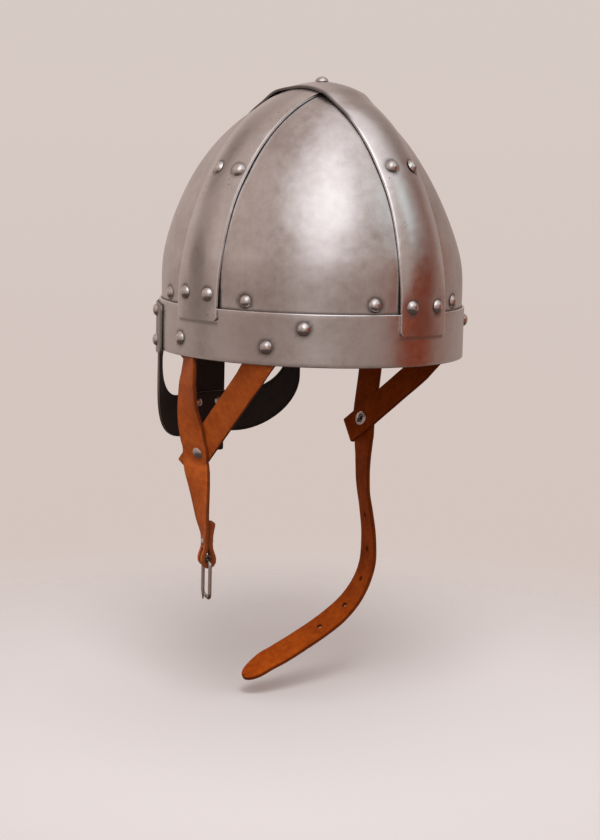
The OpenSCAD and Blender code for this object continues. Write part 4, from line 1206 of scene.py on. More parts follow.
SUNK = 0.4
PEAK_TOP = LAP + CROWN_LAP + SHEET + CROSSING_GAP + SHEET
peak_place = np.array([0, LEAN, PEAK]), UP
rivets("band_rivets_upper", MID_PLACES, BAND_OUT - SUNK, GRIP_BAND + CROWN - 1, 1)
rivets("band_rivets_lower", FOOT_PLACES, BAND_OUT - SUNK, BAND_OUT + GRIP_LINER, 2)
rivets("plate_rivets", PLATE_PLACES, -SUNK, GRIP_LINER - 1.2, 3)
rivets("brow_rivets", PANEL_PLACES, 0.0, GRIP_BROW, 4)
rivets("strap_rivets", STRAP_PLACES, 0.0, GRIP_STRAP, 5)
rivets("face_guard_rivets", GUARD_PLACES, GUARD_OUT, GUARD_OUT + GRIP_BROW, 6)
rivets("apex_rivet", [peak_place], PEAK_TOP, PEAK_TOP + 0.2, 7, radius=4.8, height=3.4)
rivets("nasal_rivets_upper", NOSE_PLACES, NASAL_OUT, NASAL_OUT + GRIP_BROW, 8, replaced=["nasal_rivets"])
rivets("nasal_rivets_lower", NOSE_LOW_PLACES, NASAL_OUT, NASAL_OUT, 9, replaced=["nasal_rivets"], radius=3.0,
       height=2.0)
print(len(RIVETED), "rivets and five more")

# %% [markdown]
# The chin straps are cut like the guard, but bent along a path. Each strap is one piece of leather
# from its rivet inside the rim down to its end, and its shape is bent just under the rim. The two
# straps of a side lie in one plane, one upon the other.

# %% Lines of the straps
FLEX_DEPTH, TAB_TOP, TAB_MID = 4.0, 21.0, TAB_IN + STRAP_THICK / 2
FRONT_Y, REAR_Y = {1: -13.0, -1: -33.0}, {1: 44.5, -1: 38.0}
FRONT_RAKE, REAR_RAKE = {1: -6.0, -1: -4.0}, {1: 11.0, -1: 9.0}
YOKE_X, YOKE_Y, YOKE_DEPTH = 79.0, -26.5, {1: 70.0, -1: 57.0}
YOKE_ASIDE = {1: np.array([0, 3.5, 1.3]), -1: np.array([0, 2.1, -1.5])}
LAYER = (STRAP_THICK + LAP) / 2
SETTLE, YOKE_FLAT, YOKE_HOLE = 16.0, 6.0, 2.4


def tab_point(k, y, z):
    """Point on a strap's upper end. k is 1 on the wearer's left and -1 on the right."""
    wide, long = HALF_WIDTH + TAB_MID, HALF_LENGTH + TAB_MID
    return np.array([k * wide * math.sqrt(1 - (y / long) ** 2), y, z])


def flex(k, y):
    return tab_point(k, y, -FLEX_DEPTH)


def flex_line(k):
    """Direction of the line about which a side's straps bend."""
    return unit(flex(k, REAR_Y[k]) - flex(k, FRONT_Y[k]))


def yoke(k):
    """Where the lines of a side's two straps meet."""
    return np.array([k * YOKE_X, YOKE_Y, -YOKE_DEPTH[k]])


def outward(k):
    return k * unit(np.cross(yoke(k) - flex(k, FRONT_Y[k]), flex_line(k)))


def yoke_place(k):
    """Where the rivet sits: a little off the point on which the straps cross."""
    n, aside = outward(k), YOKE_ASIDE[k]
    return yoke(k) + aside - n * (aside @ n)


def hole_at(s, t, radius, steps=14):
    return np.array([s, t]) + circle(radius, steps)


def yoke_hole(k, start, t):
    """The rivet's hole in a strap that comes from start and reaches the crossing at the length t."""
    d, off = unit(yoke(k) - start), yoke_place(k) - yoke(k)
    return hole_at(off @ (k * unit(np.cross(outward(k), d))), t + off @ d, YOKE_HOLE)


def tab_stations(k, y, rake):
    """Upper end of a strap, inside the rim: middle, direction across, outward direction."""
    made = []
    for z in (TAB_TOP, STRAP_ROW, 5.0, 0.5):
        p = tab_point(k, y + rake * (z + FLEX_DEPTH) / (STRAP_ROW + FLEX_DEPTH), z)
        out = normal_at(p)
        made.append((p, k * np.cross(UP, out), out))
    return made


def hanging_stations(k, start, off, over, bow_out=0.0):
    """A strap from its bend down to the crossing and a little over it, off the middle of both layers."""
    n, aim, line = outward(k), yoke(k), flex_line(k)
    span = aim - start
    d = unit(span)
    w = k * unit(np.cross(n, d))
    stops = [SETTLE / np.linalg.norm(span)] + ([0.33, 0.46, 0.6, 0.75, 0.88] if bow_out else [0.5, 0.75])
    made = []
    for u in stops:
        bowed = line * bow_out * max(0.0, math.sin(math.pi * u)) ** 1.5
        made.append((start + span * u + off * n - bowed, w, n))
    return made + [(aim + off * n - d * YOKE_FLAT, w, n), (aim + off * n + d * over, w, n)]


print("the straps meet", YOKE_DEPTH[1], "and", YOKE_DEPTH[-1], "mm below the rim")

# %% [markdown]
# A strap is thought of as a flat band whose middle line is bent along a smooth path through a few
# stations. The path knows its direction across and outwards at every length, so an outline drawn in
# the flat, with its holes, can be carried onto it. A twist turns the band about its own line.

# %% Paths
class Path:
    """A smooth path through stations, with its across and outward directions, measured in mm."""

    def __init__(self, stations, twist=None):
        points, sides, outs = (np.array([s[i] for s in stations], float) for i in range(3))
        gaps = np.linalg.norm(np.diff(points, axis=0), axis=1)
        self.stops = np.concatenate([[0], np.cumsum(gaps)])
        count = max(8, int(self.stops[-1]))
        t = np.linspace(0, self.stops[-1], count)
        self.centre = np.stack([self.smooth_curve(t, points[:, i]) for i in range(3)], -1)
        walked = np.concatenate([[0], np.cumsum(np.linalg.norm(np.diff(self.centre, axis=0), axis=1))])
        tangent = unit(np.gradient(self.centre, axis=0))
        side = np.stack([np.interp(t, self.stops, sides[:, i]) for i in range(3)], -1)
        rough = np.stack([np.interp(t, self.stops, outs[:, i]) for i in range(3)], -1)
        side = unit(side - dot(side, tangent) * tangent)
        out = unit(np.cross(tangent, side))
        out = out * np.sign(dot(out, rough))
        if twist is not None:
            angle = np.radians(np.interp(walked, *twist))[:, None]
            c, s = np.cos(angle), np.sin(angle)
            side, out = side * c + out * s, out * c - side * s
        self.stops = np.interp(self.stops, t, walked)
        self.walked, self.side, self.out, self.length = walked, side, out, walked[-1]

    def smooth_curve(self, t, values):
        """Cubic through the stations' values, with the slope at each from its neighbours."""
        x = self.stops
        slopes = np.gradient(values, x)
        i = np.clip(np.searchsorted(x, t, "right") - 1, 0, len(x) - 2)
        h = x[i + 1] - x[i]
        u = (t - x[i]) / h
        a, b, c = 2 * u ** 3 - 3 * u ** 2 + 1, u ** 3 - 2 * u ** 2 + u, u ** 3 - u ** 2
        return a * values[i] + b * h * slopes[i] + (1 - a) * values[i + 1] + c * h * slopes[i + 1]

    def at(self, t, of):
        """What is kept in of, such as the centre line, at the lengths t."""
        return np.stack([np.interp(t, self.walked, of[:, i]) for i in range(3)], -1)

    def bend(self, wave, seed):
        """The rule that carries flat points onto the path, with a little unevenness."""
        def rule(s, t, depth):
            across, out = self.at(t, self.side), self.at(t, self.out)
            moved = self.at(t, self.centre) + across * s[:, None] + out * depth[:, None]
            lift = np.array([noise.noise(Vector((a / 14, b / 22, seed))) for a, b in zip(s, t)])
            return moved + out * (wave * lift)[:, None]
        return rule

    def where_depth(self, depth):
        """How far along the path the height has fallen to depth."""
        z = -self.centre[:, 2]
        return float(np.interp(depth, np.maximum.accumulate(z), self.walked))


def strap_outline(path, half_at, start_round=3.0, end_round=3.0):
    """Outline of a strap: half_at gives its half width at each distance; both ends are rounded off."""
    t = np.concatenate([start_round * (1 - np.cos(np.linspace(0, np.pi / 2, 5)[:-1])),
                        np.arange(start_round, path.length - end_round, 2.0),
                        path.length - end_round * (1 - np.sin(np.linspace(0, np.pi / 2, 6)))])
    t = np.unique(np.round(t, 3))
    near_start = np.clip(1 - t / start_round, 0, 1)
    near_end = np.clip(1 - (path.length - t) / end_round, 0, 1)
    cut = start_round * (1 - np.sqrt(1 - near_start ** 2)) + end_round * (1 - np.sqrt(1 - near_end ** 2))
    half = np.maximum(half_at(t) - cut, 0.2)
    return np.concatenate([np.stack([half, t], -1), np.stack([-half, t], -1)[::-1]])


print("a strap path can be bent, twisted and measured")

# %% [markdown]
# Strap leather is orange-brown with clouds of a darker tone, and almost black where it was cut and
# burnished. Its grain is a net of fine cells. The flesh side is duller, has no cells and is painted
# darker, as shade. The straps of the wearer's right side hang in shade: their copy of the leather is
# a little redder and shines less, as shade makes them look.

# %% Leather
def leather(name, light, dark, edge_tone, rough=0.58, grain=0.05, sheen=0.2):
    material, wire, shader, _ = new_material(name)
    flat = wire.node("ShaderNodeUVMap", {"uv_map": "flat"}).stretched(100, 100, 0)
    outer, edge = wire.noted("outer_face"), wire.noted("cut_edge")
    broad, cloudy, fine = flat.cloud(0.045, 3.0, 0.6), flat.cloud(0.22, 4.0, 0.65), flat.cloud(1.3, 3.0, 0.6)
    cells = flat.node("ShaderNodeTexVoronoi", {"feature": "DISTANCE_TO_EDGE"}, Vector=flat, Scale=1.1,
                      Randomness=1.0)
    creases = flat.stretched(0.35, 1.0, 1.0).cloud(0.30, 4.0, 0.7)
    tone = (broad * 0.45 + cloudy * 0.4 + fine * 0.15).step(0.33, 0.64)
    # The flesh side is painted darker than the grain side, as shade.
    shaded_flesh = (tone * 0.6).between(tuple(v * 0.45 for v in dark), tuple(v * 0.7 for v in light))
    colour = outer.step(0.2, 0.8).between(shaded_flesh, tone.between(dark, light))
    pores = (1 - cells.step(0.0, 0.16)) * outer
    colour = (pores * 0.3).between(colour, edge_tone)
    colour = (edge.step(0.5, 1.0) * (0.35 + 0.8 * fine).least(0.85)).between(colour, edge_tone)
    wire.feed(shader["Base Color"], colour)
    wire.feed(shader["Roughness"], (rough + 0.25 * (cloudy - 0.5) + 0.12 * (1 - outer)).least(0.9))
    shader["Specular IOR Level"].default_value = sheen
    relief = creases * 3.0 + cloudy * 1.5 - pores + fine * 0.8
    wire.feed(shader["Normal"], relief.bumps(grain * 2 * MM))
    return material


# The second leather, for the wearer's right side, is a shaded copy: redder, with less sheen.
STRAP_LEATHER = {
    1: leather("strap_leather", (0.69, 0.155, 0.020), (0.45, 0.080, 0.007), (0.10, 0.022, 0.006), sheen=0.3),
    -1: leather("dry_strap_leather", (0.76, 0.150, 0.012), (0.50, 0.074, 0.004), (0.10, 0.020, 0.005),
                sheen=0.06)}
print("two leathers for the straps")

# %% [markdown]
# The front strap of the wearer's left side ends in a fold round the buckle's bar. Past the crossing it
# narrows, turns edge on, comes down to the small rivet that closes the loop, goes round the bar and
# back up behind itself. A slot in the fold leaves room for the prong.

# %% Left front strap
BAR_DROP, CHAPE, BAR_WIRE = 77.0, math.radians(24), 1.3
BAR_OUT = np.array([math.cos(CHAPE), -math.sin(CHAPE), 0])
BAR_ALONG = np.array([math.sin(CHAPE), math.cos(CHAPE), 0])
BAR_MID = yoke(1) + BAR_DROP * unit([-0.12, 0.02, -1])
FOLD_R = BAR_WIRE + 1.0 + STRAP_THICK / 2
LOOP_UP, LOOP_FLAT, FOLD_END = 13.0, 3.5, 27.0
STRAP_HALF, TAPER_HALF, LOOP_HALF = 11.0, 7.2, 6.0
SLOT_HALF, SLOT_OVER, SLOT_UNDER = 2.3, 6.2, 6.0


def bind(piece):
    """Bakes the strap's placement into its mesh."""
    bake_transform(piece)


def cut_strap(name, k, path, outline, holes, wave, seed):
    """Cuts a strap, bends it along its path, and bakes its placement."""
    piece = cut_sheet(name, outline, holes, STRAP_THICK, path.bend(wave, seed), 2.2, 0.5)
    finish_piece(piece, STRAP_LEATHER[k], None, [name, "strap_tabs"], 70)
    bind(piece)
    return piece


def over_bar(up, layers):
    """Point of the loop above the bar: how high, and how many half layers outwards."""
    return BAR_MID + UP * up + layers * LAYER * BAR_OUT


def front_left_strap():
    n, aim, start = outward(1), yoke(1), flex(1, FRONT_Y[1])
    tail = unit(over_bar(LOOP_UP, 1) - aim - LAYER * n)
    w = unit(np.cross(n, tail))
    upper = (tab_stations(1, FRONT_Y[1], FRONT_RAKE[1])
             + hanging_stations(1, start, LAYER, YOKE_FLAT, 3.6))
    drop = [(aim + LAYER * n + tail * 14, w, n),
            (aim + LAYER * n + tail * 48, unit(w + BAR_ALONG), unit(n + BAR_OUT))]
    outer = [(over_bar(LOOP_UP + e, 1), BAR_ALONG, BAR_OUT) for e in (LOOP_FLAT, -LOOP_FLAT)]
    fold = [(BAR_MID + FOLD_R * r, BAR_ALONG, r) for r in (
        math.cos(b) * BAR_OUT - math.sin(b) * UP for b in np.radians(np.arange(0, 181, 20)))]
    inner = [(over_bar(LOOP_UP + e, -1), BAR_ALONG, -BAR_OUT) for e in (-LOOP_FLAT, LOOP_FLAT)]
    end = [(over_bar(FOLD_END, -2), BAR_ALONG, -BAR_OUT)]
    path = Path(upper + drop + outer + fold + inner + end, ([16, 25, 40, 56, 76], [0, 17, 25, 17, 0]))
    yoke_t = path.stops[len(upper) - 2:len(upper)].mean()
    narrow, taper = path.stops[len(upper):len(upper) + 2]
    bend_start = len(upper + drop + outer)
    turn_start, turn_end = path.stops[bend_start], path.stops[bend_start + len(fold) - 1]

    def half(t):
        tapered = np.interp(t, [narrow, taper, taper + 20], [STRAP_HALF, TAPER_HALF, LOOP_HALF])
        return np.where(t < narrow, STRAP_HALF, tapered)

    slot = (arc_points([0, turn_start - SLOT_OVER], SLOT_HALF, 180, 360, 7)
            + arc_points([0, turn_end + SLOT_UNDER], SLOT_HALF, 0, 180, 7))
    return cut_strap("strap_front_left", 1, path, strap_outline(path, half, 3.0, 2.0),
                     [yoke_hole(1, start, yoke_t), slot], 0.3, 3)


front_left = front_left_strap()
print("the buckle's strap has", len(front_left.data.vertices), "points")

# %% [markdown]
# The rear straps are short and plain. They pass the crossing on the inside and end just below it.

# %% Rear straps
REAR_HALF, REAR_ASIDE, REAR_OVER = {1: 9.6, -1: 10.3}, {1: 0.6, -1: 2.8}, {1: 19.5, -1: 16.0}


def rear_strap(name, k):
    start, over = flex(k, REAR_Y[k]), REAR_OVER[k]
    path = Path(tab_stations(k, REAR_Y[k], REAR_RAKE[k]) + hanging_stations(k, start, -LAYER, over))
    yoke_t = path.stops[-1] - over
    outline = strap_outline(path, lambda t: REAR_HALF[k] + 0 * t, 3.0, 1.2)
    outline[:, 0] += REAR_ASIDE[k] * np.clip(outline[:, 1] / yoke_t, 0, 1)
    return cut_strap(name, k, path, outline, [yoke_hole(k, start, yoke_t)], 0.3, 5 + k)


rear_strap("strap_rear_left", 1)
print("rear straps", 2 * REAR_HALF[1], "and", 2 * REAR_HALF[-1], "mm wide")

# %% [markdown]
# The right front strap is the long one. It hangs down past the crossing, turns as it goes, and its
# tail swings forward in an open curve. The curve is given as depth below the crossing and distance
# forward, and turn and roll as angles at some of the depths. Five holes are punched for the prong.
# The right rear strap is cut after it, in the same way as the left one.

# %% Right front strap
TAIL_SET = 17.3
TAIL_TURNS = [6, 16, 30, 45, 61, 87, 111], [3, 11, 18, 22, 23.5, 20.3, TAIL_SET]
TAIL_ROLLS = [114, 142, 150], [0, 14, 18]
TAIL_ROUTE = [[16, 0], [28, -0.1], [40, -0.2], [55, -1.1], [70, -3.9], [95, -7], [112, -6.2], [126, -1.5],
              [140, 8], [150, 19], [158, 31], [168, 49], [177, 67], [181, 76], [186, 84], [191.5, 94]]
TAIL_PUNCHES, PUNCH_R = [75, 101.5, 124.5, 144, 159], 1.8
TIP_LENGTH, TIP_FULLNESS = 24, 2.2


def tail_stations(start, out):
    """The hanging tail's middle, direction across and outward direction, from the crossing down."""
    set_turn = math.radians(TAIL_SET)
    forward = np.array([math.cos(set_turn), -math.sin(set_turn), 0])
    spots = [start + LAYER * out - UP * depth + forward * far for depth, far in TAIL_ROUTE]
    made = []
    for i, (spot, (depth, _)) in enumerate(zip(spots, TAIL_ROUTE)):
        turn, roll = (math.radians(float(np.interp(depth, *table))) for table in (TAIL_TURNS, TAIL_ROLLS))
        across = math.cos(roll) * np.array([math.sin(turn), math.cos(turn), 0]) - math.sin(roll) * UP
        run = spots[min(i + 1, len(spots) - 1)] - spots[max(i - 1, 0)]
        made.append((spot, across, unit(np.cross(across, run))))
    return made


def front_right_strap():
    start = flex(-1, FRONT_Y[-1])
    upper = (tab_stations(-1, FRONT_Y[-1], FRONT_RAKE[-1])
             + hanging_stations(-1, start, LAYER, YOKE_FLAT))
    path = Path(upper + tail_stations(yoke(-1), outward(-1)))

    def half(t):
        left = np.maximum(path.length - t, 0)
        tip = np.clip(1 - ((TIP_LENGTH - left) / TIP_LENGTH) ** TIP_FULLNESS, 0, 1)
        return STRAP_HALF * np.where(left < TIP_LENGTH, np.sqrt(tip), 1.0)

    yoke_t = path.stops[len(upper) - 2:len(upper)].mean()
    punches = [hole_at(0, path.where_depth(YOKE_DEPTH[-1] + depth), PUNCH_R, 12) for depth in TAIL_PUNCHES]
    return cut_strap("strap_front_right", -1, path, strap_outline(path, half, 3.0, 0.6),
                     [yoke_hole(-1, start, yoke_t)] + punches, 0.35, 9)


front_right = front_right_strap()
rear_strap("strap_rear_right", -1)
print("the long strap has", len(TAIL_PUNCHES), "holes and", len(front_right.data.vertices), "points")

# %% [markdown]
# Where two straps of a side meet, one tubular rivet holds them: a shallow cap outside, and inside a
# washer with the tube rolled over it. The hollow between the tube and the washer's rim is painted
# dark, as shade.

# %% Yoke rivets and loop rivet
WASHER_STEEL = steel("washer_steel", base=(0.95, 0.90, 0.88), deep=(0.88, 0.83, 0.81), rough=0.42)
LAYERS_HALF = (2 * STRAP_THICK + LAP) / 2
YOKE_HALF = LAYERS_HALF + 0.05
YOKE_CAP = [(0, 1.45), (1.4, 1.38), (2.8, 1.0), (3.7, 0.5), (4.1, 0.1), (4.05, -0.1), (3.8, -0.15),
            (2.4, -0.15)]
YOKE_WASHER = [(2.4, 0.15), (4.9, 0.15), (5.2, -0.05), (5.25, -0.45), (4.95, -0.85), (4.3, -1.05),
               (3.6, -0.95), (3.2, -0.6)]
YOKE_TUBE = [(3.05, -0.1), (2.75, 0.35), (2.35, 0.2), (2.1, -0.2), (1.85, -0.3), (1.6, -0.1), (1.5, 0.8),
             (1.45, 2.0), (0, 2.1)]
TUBE_OUT, TUBE_LOW, TUBE_HIGH = 3.1, -0.19, 2.2


def yoke_rivet(name, k, body):
    """Cap heights are above the outer leather; the washer's and the tube's are above the inner one."""
    profile = ([(r, YOKE_HALF + h) for r, h in YOKE_CAP]
               + [(r, -YOKE_HALF + h) for r, h in YOKE_WASHER + YOKE_TUBE])
    source = lathed(name + "_pattern", profile)
    x, y, z = points_of(source).T
    # The hollow is marked, and the steel paints it dark, as shade.
    in_hollow = (z > TUBE_LOW - YOKE_HALF) & (z < TUBE_HIGH - YOKE_HALF)
    note(source, "soil", (np.hypot(x, y) < TUBE_OUT) & in_hollow)
    return set_at(name, [(yoke_place(k), outward(k))], 0.0, source, WASHER_STEEL if k < 0 else RIVET_STEEL, 3,
                  body, [name], 0.02, 0.01)


yoke_rivet("yoke_rivet_left", 1, "strap_left")
yoke_rivet("yoke_rivet_right", -1, "strap_right")
rivets("loop_rivet", [(over_bar(LOOP_UP, 0), BAR_OUT)], LAYERS_HALF, 2 * LAYERS_HALF, 11, body="strap_left",
       radius=2.6, height=1.3, shank=1.2, tail=2.2)
print("tubular rivets clench", 2 * STRAP_THICK, "mm of leather")

# %% [markdown]
# The buckle is bent wire, and its prong is a second wire coiled once round the bar. Both are tubes
# swept along their path; the prong's radius shrinks over its last few millimetres.

# %% Buckle
BUCKLE_WIDTH, BUCKLE_LENGTH, BUCKLE_CORNER = 18.6, 26.0, 3.4
PRONG_R, PRONG_GAP, PRONG_ASIDE = 1.0, 0.08, 1.05
WIRE_STEEL = steel("wire_steel", base=(0.56, 0.52, 0.49), deep=(0.34, 0.30, 0.27), rough=0.30,
                   grain=(1, 1, 1))


def at_bar(x, y, z):
    return BAR_MID + np.outer(x, BAR_OUT) + np.outer(y, BAR_ALONG) + np.outer(z, UP)


def buckle_frame():
    half, r = BUCKLE_WIDTH / 2 - BUCKLE_CORNER, BUCKLE_CORNER
    low, loop = r - BUCKLE_LENGTH, []
    for i, (y, z) in enumerate(((half, -r), (-half, -r), (-half, low), (half, low))):
        loop += arc_points([y, z], r, 90 * i, 90 * i + 90, 9)
    y, z = divided(loop, 2.0).T
    piece = tube("buckle_frame", at_bar(0 * y, y, z), BAR_WIRE, closed=True, up=BAR_OUT, steps=18)
    return finish_piece(piece, WIRE_STEEL, "buckle", ["buckle_frame"])


def buckle_prong():
    ring = BAR_WIRE + PRONG_GAP + PRONG_R
    turn = np.linspace(2 * math.pi, 0, 40)
    shift = PRONG_ASIDE * (1 - turn / math.pi)
    down = np.arange(1.0, BUCKLE_LENGTH + 2.1, 1.0)
    coil = np.stack([ring * np.cos(turn), shift, ring * np.sin(turn)], -1)
    straight = np.stack([ring + 0 * down, PRONG_ASIDE * np.exp(-down / 8), -down], -1)
    points = at_bar(*np.concatenate([coil, straight]).T)
    side, over = along(points, up=BAR_ALONG)
    far = np.linalg.norm(points - points[-1], axis=1)
    section = circle(1.0, 16)[None] * (PRONG_R * (0.55 + 0.45 * step(far, 0, 5)))[:, None, None]
    piece = swept("buckle_prong", points, side, over, section, closed=False)
    return finish_piece(piece, WIRE_STEEL, "prong", ["buckle_prong"])


buckle_frame()
buckle_prong()
print("buckle", BUCKLE_WIDTH, "by", BUCKLE_LENGTH, "mm")

# %% [markdown]
# Inside, a leather headband is riveted through the plates. It is a hoop like the brow band, in a
# thinner and darker leather, and it gets the same flat places and marks as the cut pieces.

# %% Headband
LINER_FOOT, LINER_WIDTH, LINER_TURN = 32.0, 24.0, 1.87
LINER_TOP = LINER_FOOT + LINER_WIDTH
LINER_LEATHER = leather("liner_leather", (0.17, 0.078, 0.034), (0.085, 0.036, 0.016), (0.04, 0.018, 0.010),
                        rough=0.68, grain=0.06)
LACE_LEATHER = leather("lace_leather", (0.24, 0.11, 0.05), (0.13, 0.055, 0.024), (0.06, 0.028, 0.014),
                       rough=0.6)


def lining_band(steps=300):
    """The headband. LINER_TURN is about its length in millimetres for each degree round the head."""
    section = hoop_section(LINER_IN, LINER_OUT, LINER_FOOT, LINER_TOP, 0.5, 10)
    piece = hoop("liner_band", section, 24.0, 0.12, 61, steps)
    around = np.repeat(np.linspace(0, 360, steps, endpoint=False) * LINER_TURN, len(section))
    out, high = np.tile(section, (steps, 1)).T
    edge = np.clip(1 - np.minimum(high - LINER_FOOT, LINER_TOP - high) / 0.6, 0, 1)
    flat_map(piece, np.stack([around, high], -1), out < (LINER_IN + LINER_OUT) / 2, edge)
    return finish_piece(piece, LINER_LEATHER, "root", ["liner_band"], 70)


lining_band()
print("the headband is", LINER_WIDTH, "mm high")

# %% [markdown]
# Eight tongues spring from the headband. Each follows a quarter of an oval up to the crown and ends
# in a hem folded round a lace, which draws the tongues together over the crown of the head. A tongue
# is a grid of points: rows up its length and round the hem, columns across it.

# %% Tongues
TONGUES, TONGUE_WIDTH, TONGUE_TIP, TONGUE_LAP, TONGUE_GAP = 8, 58.0, 13.0, 7.0, 0.4
TONGUE_ROWS, HEM_ROWS, TONGUE_COLS = 34, 16, 17
LACE_RING, LACE_HEIGHT, LACE_R, HEM_BORE = 27.0, 128.0, 1.4, 3.0
LACE_PLANE = np.array([0, float(lean(LACE_HEIGHT)), LACE_HEIGHT])


def in_plane(radial, reach, height):
    """Vectors in the upright planes that hold the radial directions."""
    return radial * reach[..., None] + UP * height[..., None]


def tongue(index):
    """Grid of one tongue's middle surface, its directions and its flat places."""
    hem = HEM_BORE + LINER_THICK / 2
    u = np.concatenate([np.linspace(0, 1, TONGUE_ROWS), np.full(HEM_ROWS, 1.0)])[:, None]
    rolled = np.arange(len(u))[:, None] >= TONGUE_ROWS
    across = np.linspace(-1, 1, TONGUE_COLS)[None, :]
    half = np.degrees(np.arctan((TONGUE_WIDTH * (1 - u) + TONGUE_TIP * u) / 2
                                / (HALF_WIDTH * (1 - u) + LACE_RING * u)))
    a = 360 * (index + 0.5) / TONGUES - half * across
    radial = np.stack([np.sin(np.radians(a)), -np.cos(np.radians(a)), 0 * a], -1)
    foot = skull(a, LINER_TOP - TONGUE_LAP) + (LINER_IN - TONGUE_GAP - LINER_THICK / 2) * radial - LACE_PLANE
    far, top = np.linalg.norm(foot[..., :2], axis=-1) - LACE_RING, foot[..., 2] - hem
    c, s = np.cos(np.pi / 2 * u), np.sin(np.pi / 2 * u)
    long = np.maximum(np.hypot(far * s, top * c), 1e-9)
    turn = np.radians(np.concatenate([np.full(TONGUE_ROWS, 90.0), np.linspace(76, -150, HEM_ROWS)]))[:, None]
    reach = LACE_RING + np.where(rolled, hem * np.cos(turn), far * c)
    height = np.where(rolled, hem * np.sin(turn), hem + top * (1 - s))
    points = LACE_PLANE + in_plane(radial, reach, height)
    ways = in_plane(radial, np.where(rolled, np.cos(turn), -top * c / long),
                    np.where(rolled, np.sin(turn), far * s / long))
    outwards = rolled[..., None] | (dot(ways, radial + UP / 2) > 0)
    ways = ways * np.where(outwards, 1, -1)
    points = np.where(rolled[..., None], points, wavy(points, ways, 20.0, 0.5, 70 + index))
    steps = np.linalg.norm(np.diff(points[:, TONGUE_COLS // 2], axis=0), axis=1)
    down = np.concatenate([[0], np.cumsum(steps)])
    wide = across * np.radians(half) * np.maximum(reach, 5) + 80 * index
    return points, ways, np.stack([wide, np.repeat(down[:, None], TONGUE_COLS, 1)], -1)


def tongues(name, first):
    points, faces, flat, outer, edge, start = [], [], [], [], [], 0
    for index in range(first, first + TONGUES // 2):
        middle, ways, places = tongue(index)
        rows, cols = middle.shape[:2]
        rim = np.ones((rows, cols))
        rim[1:-1, 1:-1] = 0
        points += [(middle + side * ways * LINER_THICK / 2).reshape(-1, 3) for side in (1, -1)]
        faces.append(sheet_faces(rows, cols) + start)
        flat += [places.reshape(-1, 2)] * 2
        outer += [np.zeros(rows * cols), np.ones(rows * cols)]
        edge += [0.6 * rim.ravel()] * 2
        start += 2 * rows * cols
    piece = new_object(name, np.concatenate(points), np.concatenate(faces))
    flat_map(piece, np.concatenate(flat), np.concatenate(outer), np.concatenate(edge))
    turn_out(piece)
    round_edges(piece, 0.45, 2)
    return finish_piece(piece, LINER_LEATHER, "root", [name], 70)


tongues("liner_tongues_left", 0)
tongues("liner_tongues_right", TONGUES // 2)
print(TONGUES, "tongues meet", round(LACE_HEIGHT), "mm above the rim")

# %% [markdown]
# The lace is a ring through the hems. Its knot at the front is a trefoil, the simplest closed knot,
# which a formula gives, and two short ends stick out below it.

# %% Lace and washers
KNOT_SIZE, KNOT_DEPTH, KNOT_R = 0.75, 1.1, 1.0
END_LENGTH, END_TURN = 6, 25
WASHER_PROFILE = [(0, 0.0), (2.0, 0.0), (4.3, 0.0), (4.6, -0.2), (4.6, -0.6), (4.3, -0.8), (2.0, -0.86),
                  (0, -0.86)]


def lace_parts():
    turn = full_turn(160)
    sag = 0.5 * np.sin(5 * turn) * (1 - np.exp(-((turn - np.pi) / 2.6) ** 8))
    ring = LACE_PLANE + np.stack([LACE_RING * np.sin(turn), -LACE_RING * np.cos(turn), sag], -1)
    knot_at = LACE_PLANE + [0, -LACE_RING, 0]
    t = full_turn(80)
    trefoil = np.stack([KNOT_SIZE * (np.sin(t) + 1.6 * np.sin(2 * t)), -KNOT_DEPTH * np.sin(3 * t),
                        KNOT_SIZE * (np.cos(t) - 1.6 * np.cos(2 * t))], -1)
    parts = [tube("liner_lace", ring, LACE_R, closed=True, steps=12),
             tube("knot", knot_at + trefoil, KNOT_R, closed=True, up=(0.2, 1, 0.1), steps=10)]
    drop = np.linspace(0, END_LENGTH, 9)
    for side in (-1, 1):
        a = math.radians(END_TURN) * side
        end = np.stack([-np.sin(a) * drop, -0.02 * drop ** 2, -np.cos(a) * drop], -1)
        parts.append(tube("lace_end", knot_at + end, LACE_R * 0.92, up=(0, 1, 0.1), steps=12))
    return parts


def lace():
    whole, *others = lace_parts()
    work = bmesh.new()
    for piece in (whole, *others):
        work.from_mesh(piece.data)
    work.to_mesh(whole.data)
    work.free()
    for piece in others:
        bpy.data.objects.remove(piece)
    places = points_of(whole)
    flat_map(whole, places[:, :2] + places[:, 2:], np.ones(len(places)), np.zeros(len(places)))
    return finish_piece(whole, LACE_LEATHER, "root", ["liner_lace"], 70)


def washers():
    plate_in = LINER_IN - float(tuck(PLATE_ROW))
    seats = [(FOOT_PLACES, LINER_IN), (PLATE_PLACES, plate_in), (STRAP_PLACES, TAB_IN)]
    spots = [(p + w * (inner - 0.1), w) for places, inner in seats for p, w in places]
    source = lathed("washer_pattern", WASHER_PROFILE)
    return set_at("liner_washers", spots, 0.0, source, WIRE_STEEL, 12, tilt=0.02, spread=0.02)


lace()
print(len(washers().data.vertices), "points in the washers")

# %% [markdown]
# Polished steel looks like what it mirrors, so the light is designed by direction. The surround is a
# warm grey, darker below. High behind the camera hangs one large soft white patch, and cooler ones
# hang further right. Low on the right a red-brown patch colours the back band, and a few weaker
# patches shade the flanks. They are mixed in one after another, each over those before it.

# %% Light
world = bpy.data.worlds.new("surround")
world.use_nodes = True
scene.world = world
world_tree = world.node_tree
world_tree.nodes.clear()
sky = Wire(world_tree)
look = sky.node("ShaderNodeTexCoord", out=0)


def share_of(axis):
    return sky.node("ShaderNodeVectorMath", {"operation": "DOT_PRODUCT"}, out=1, at0=look, at1=tuple(axis))


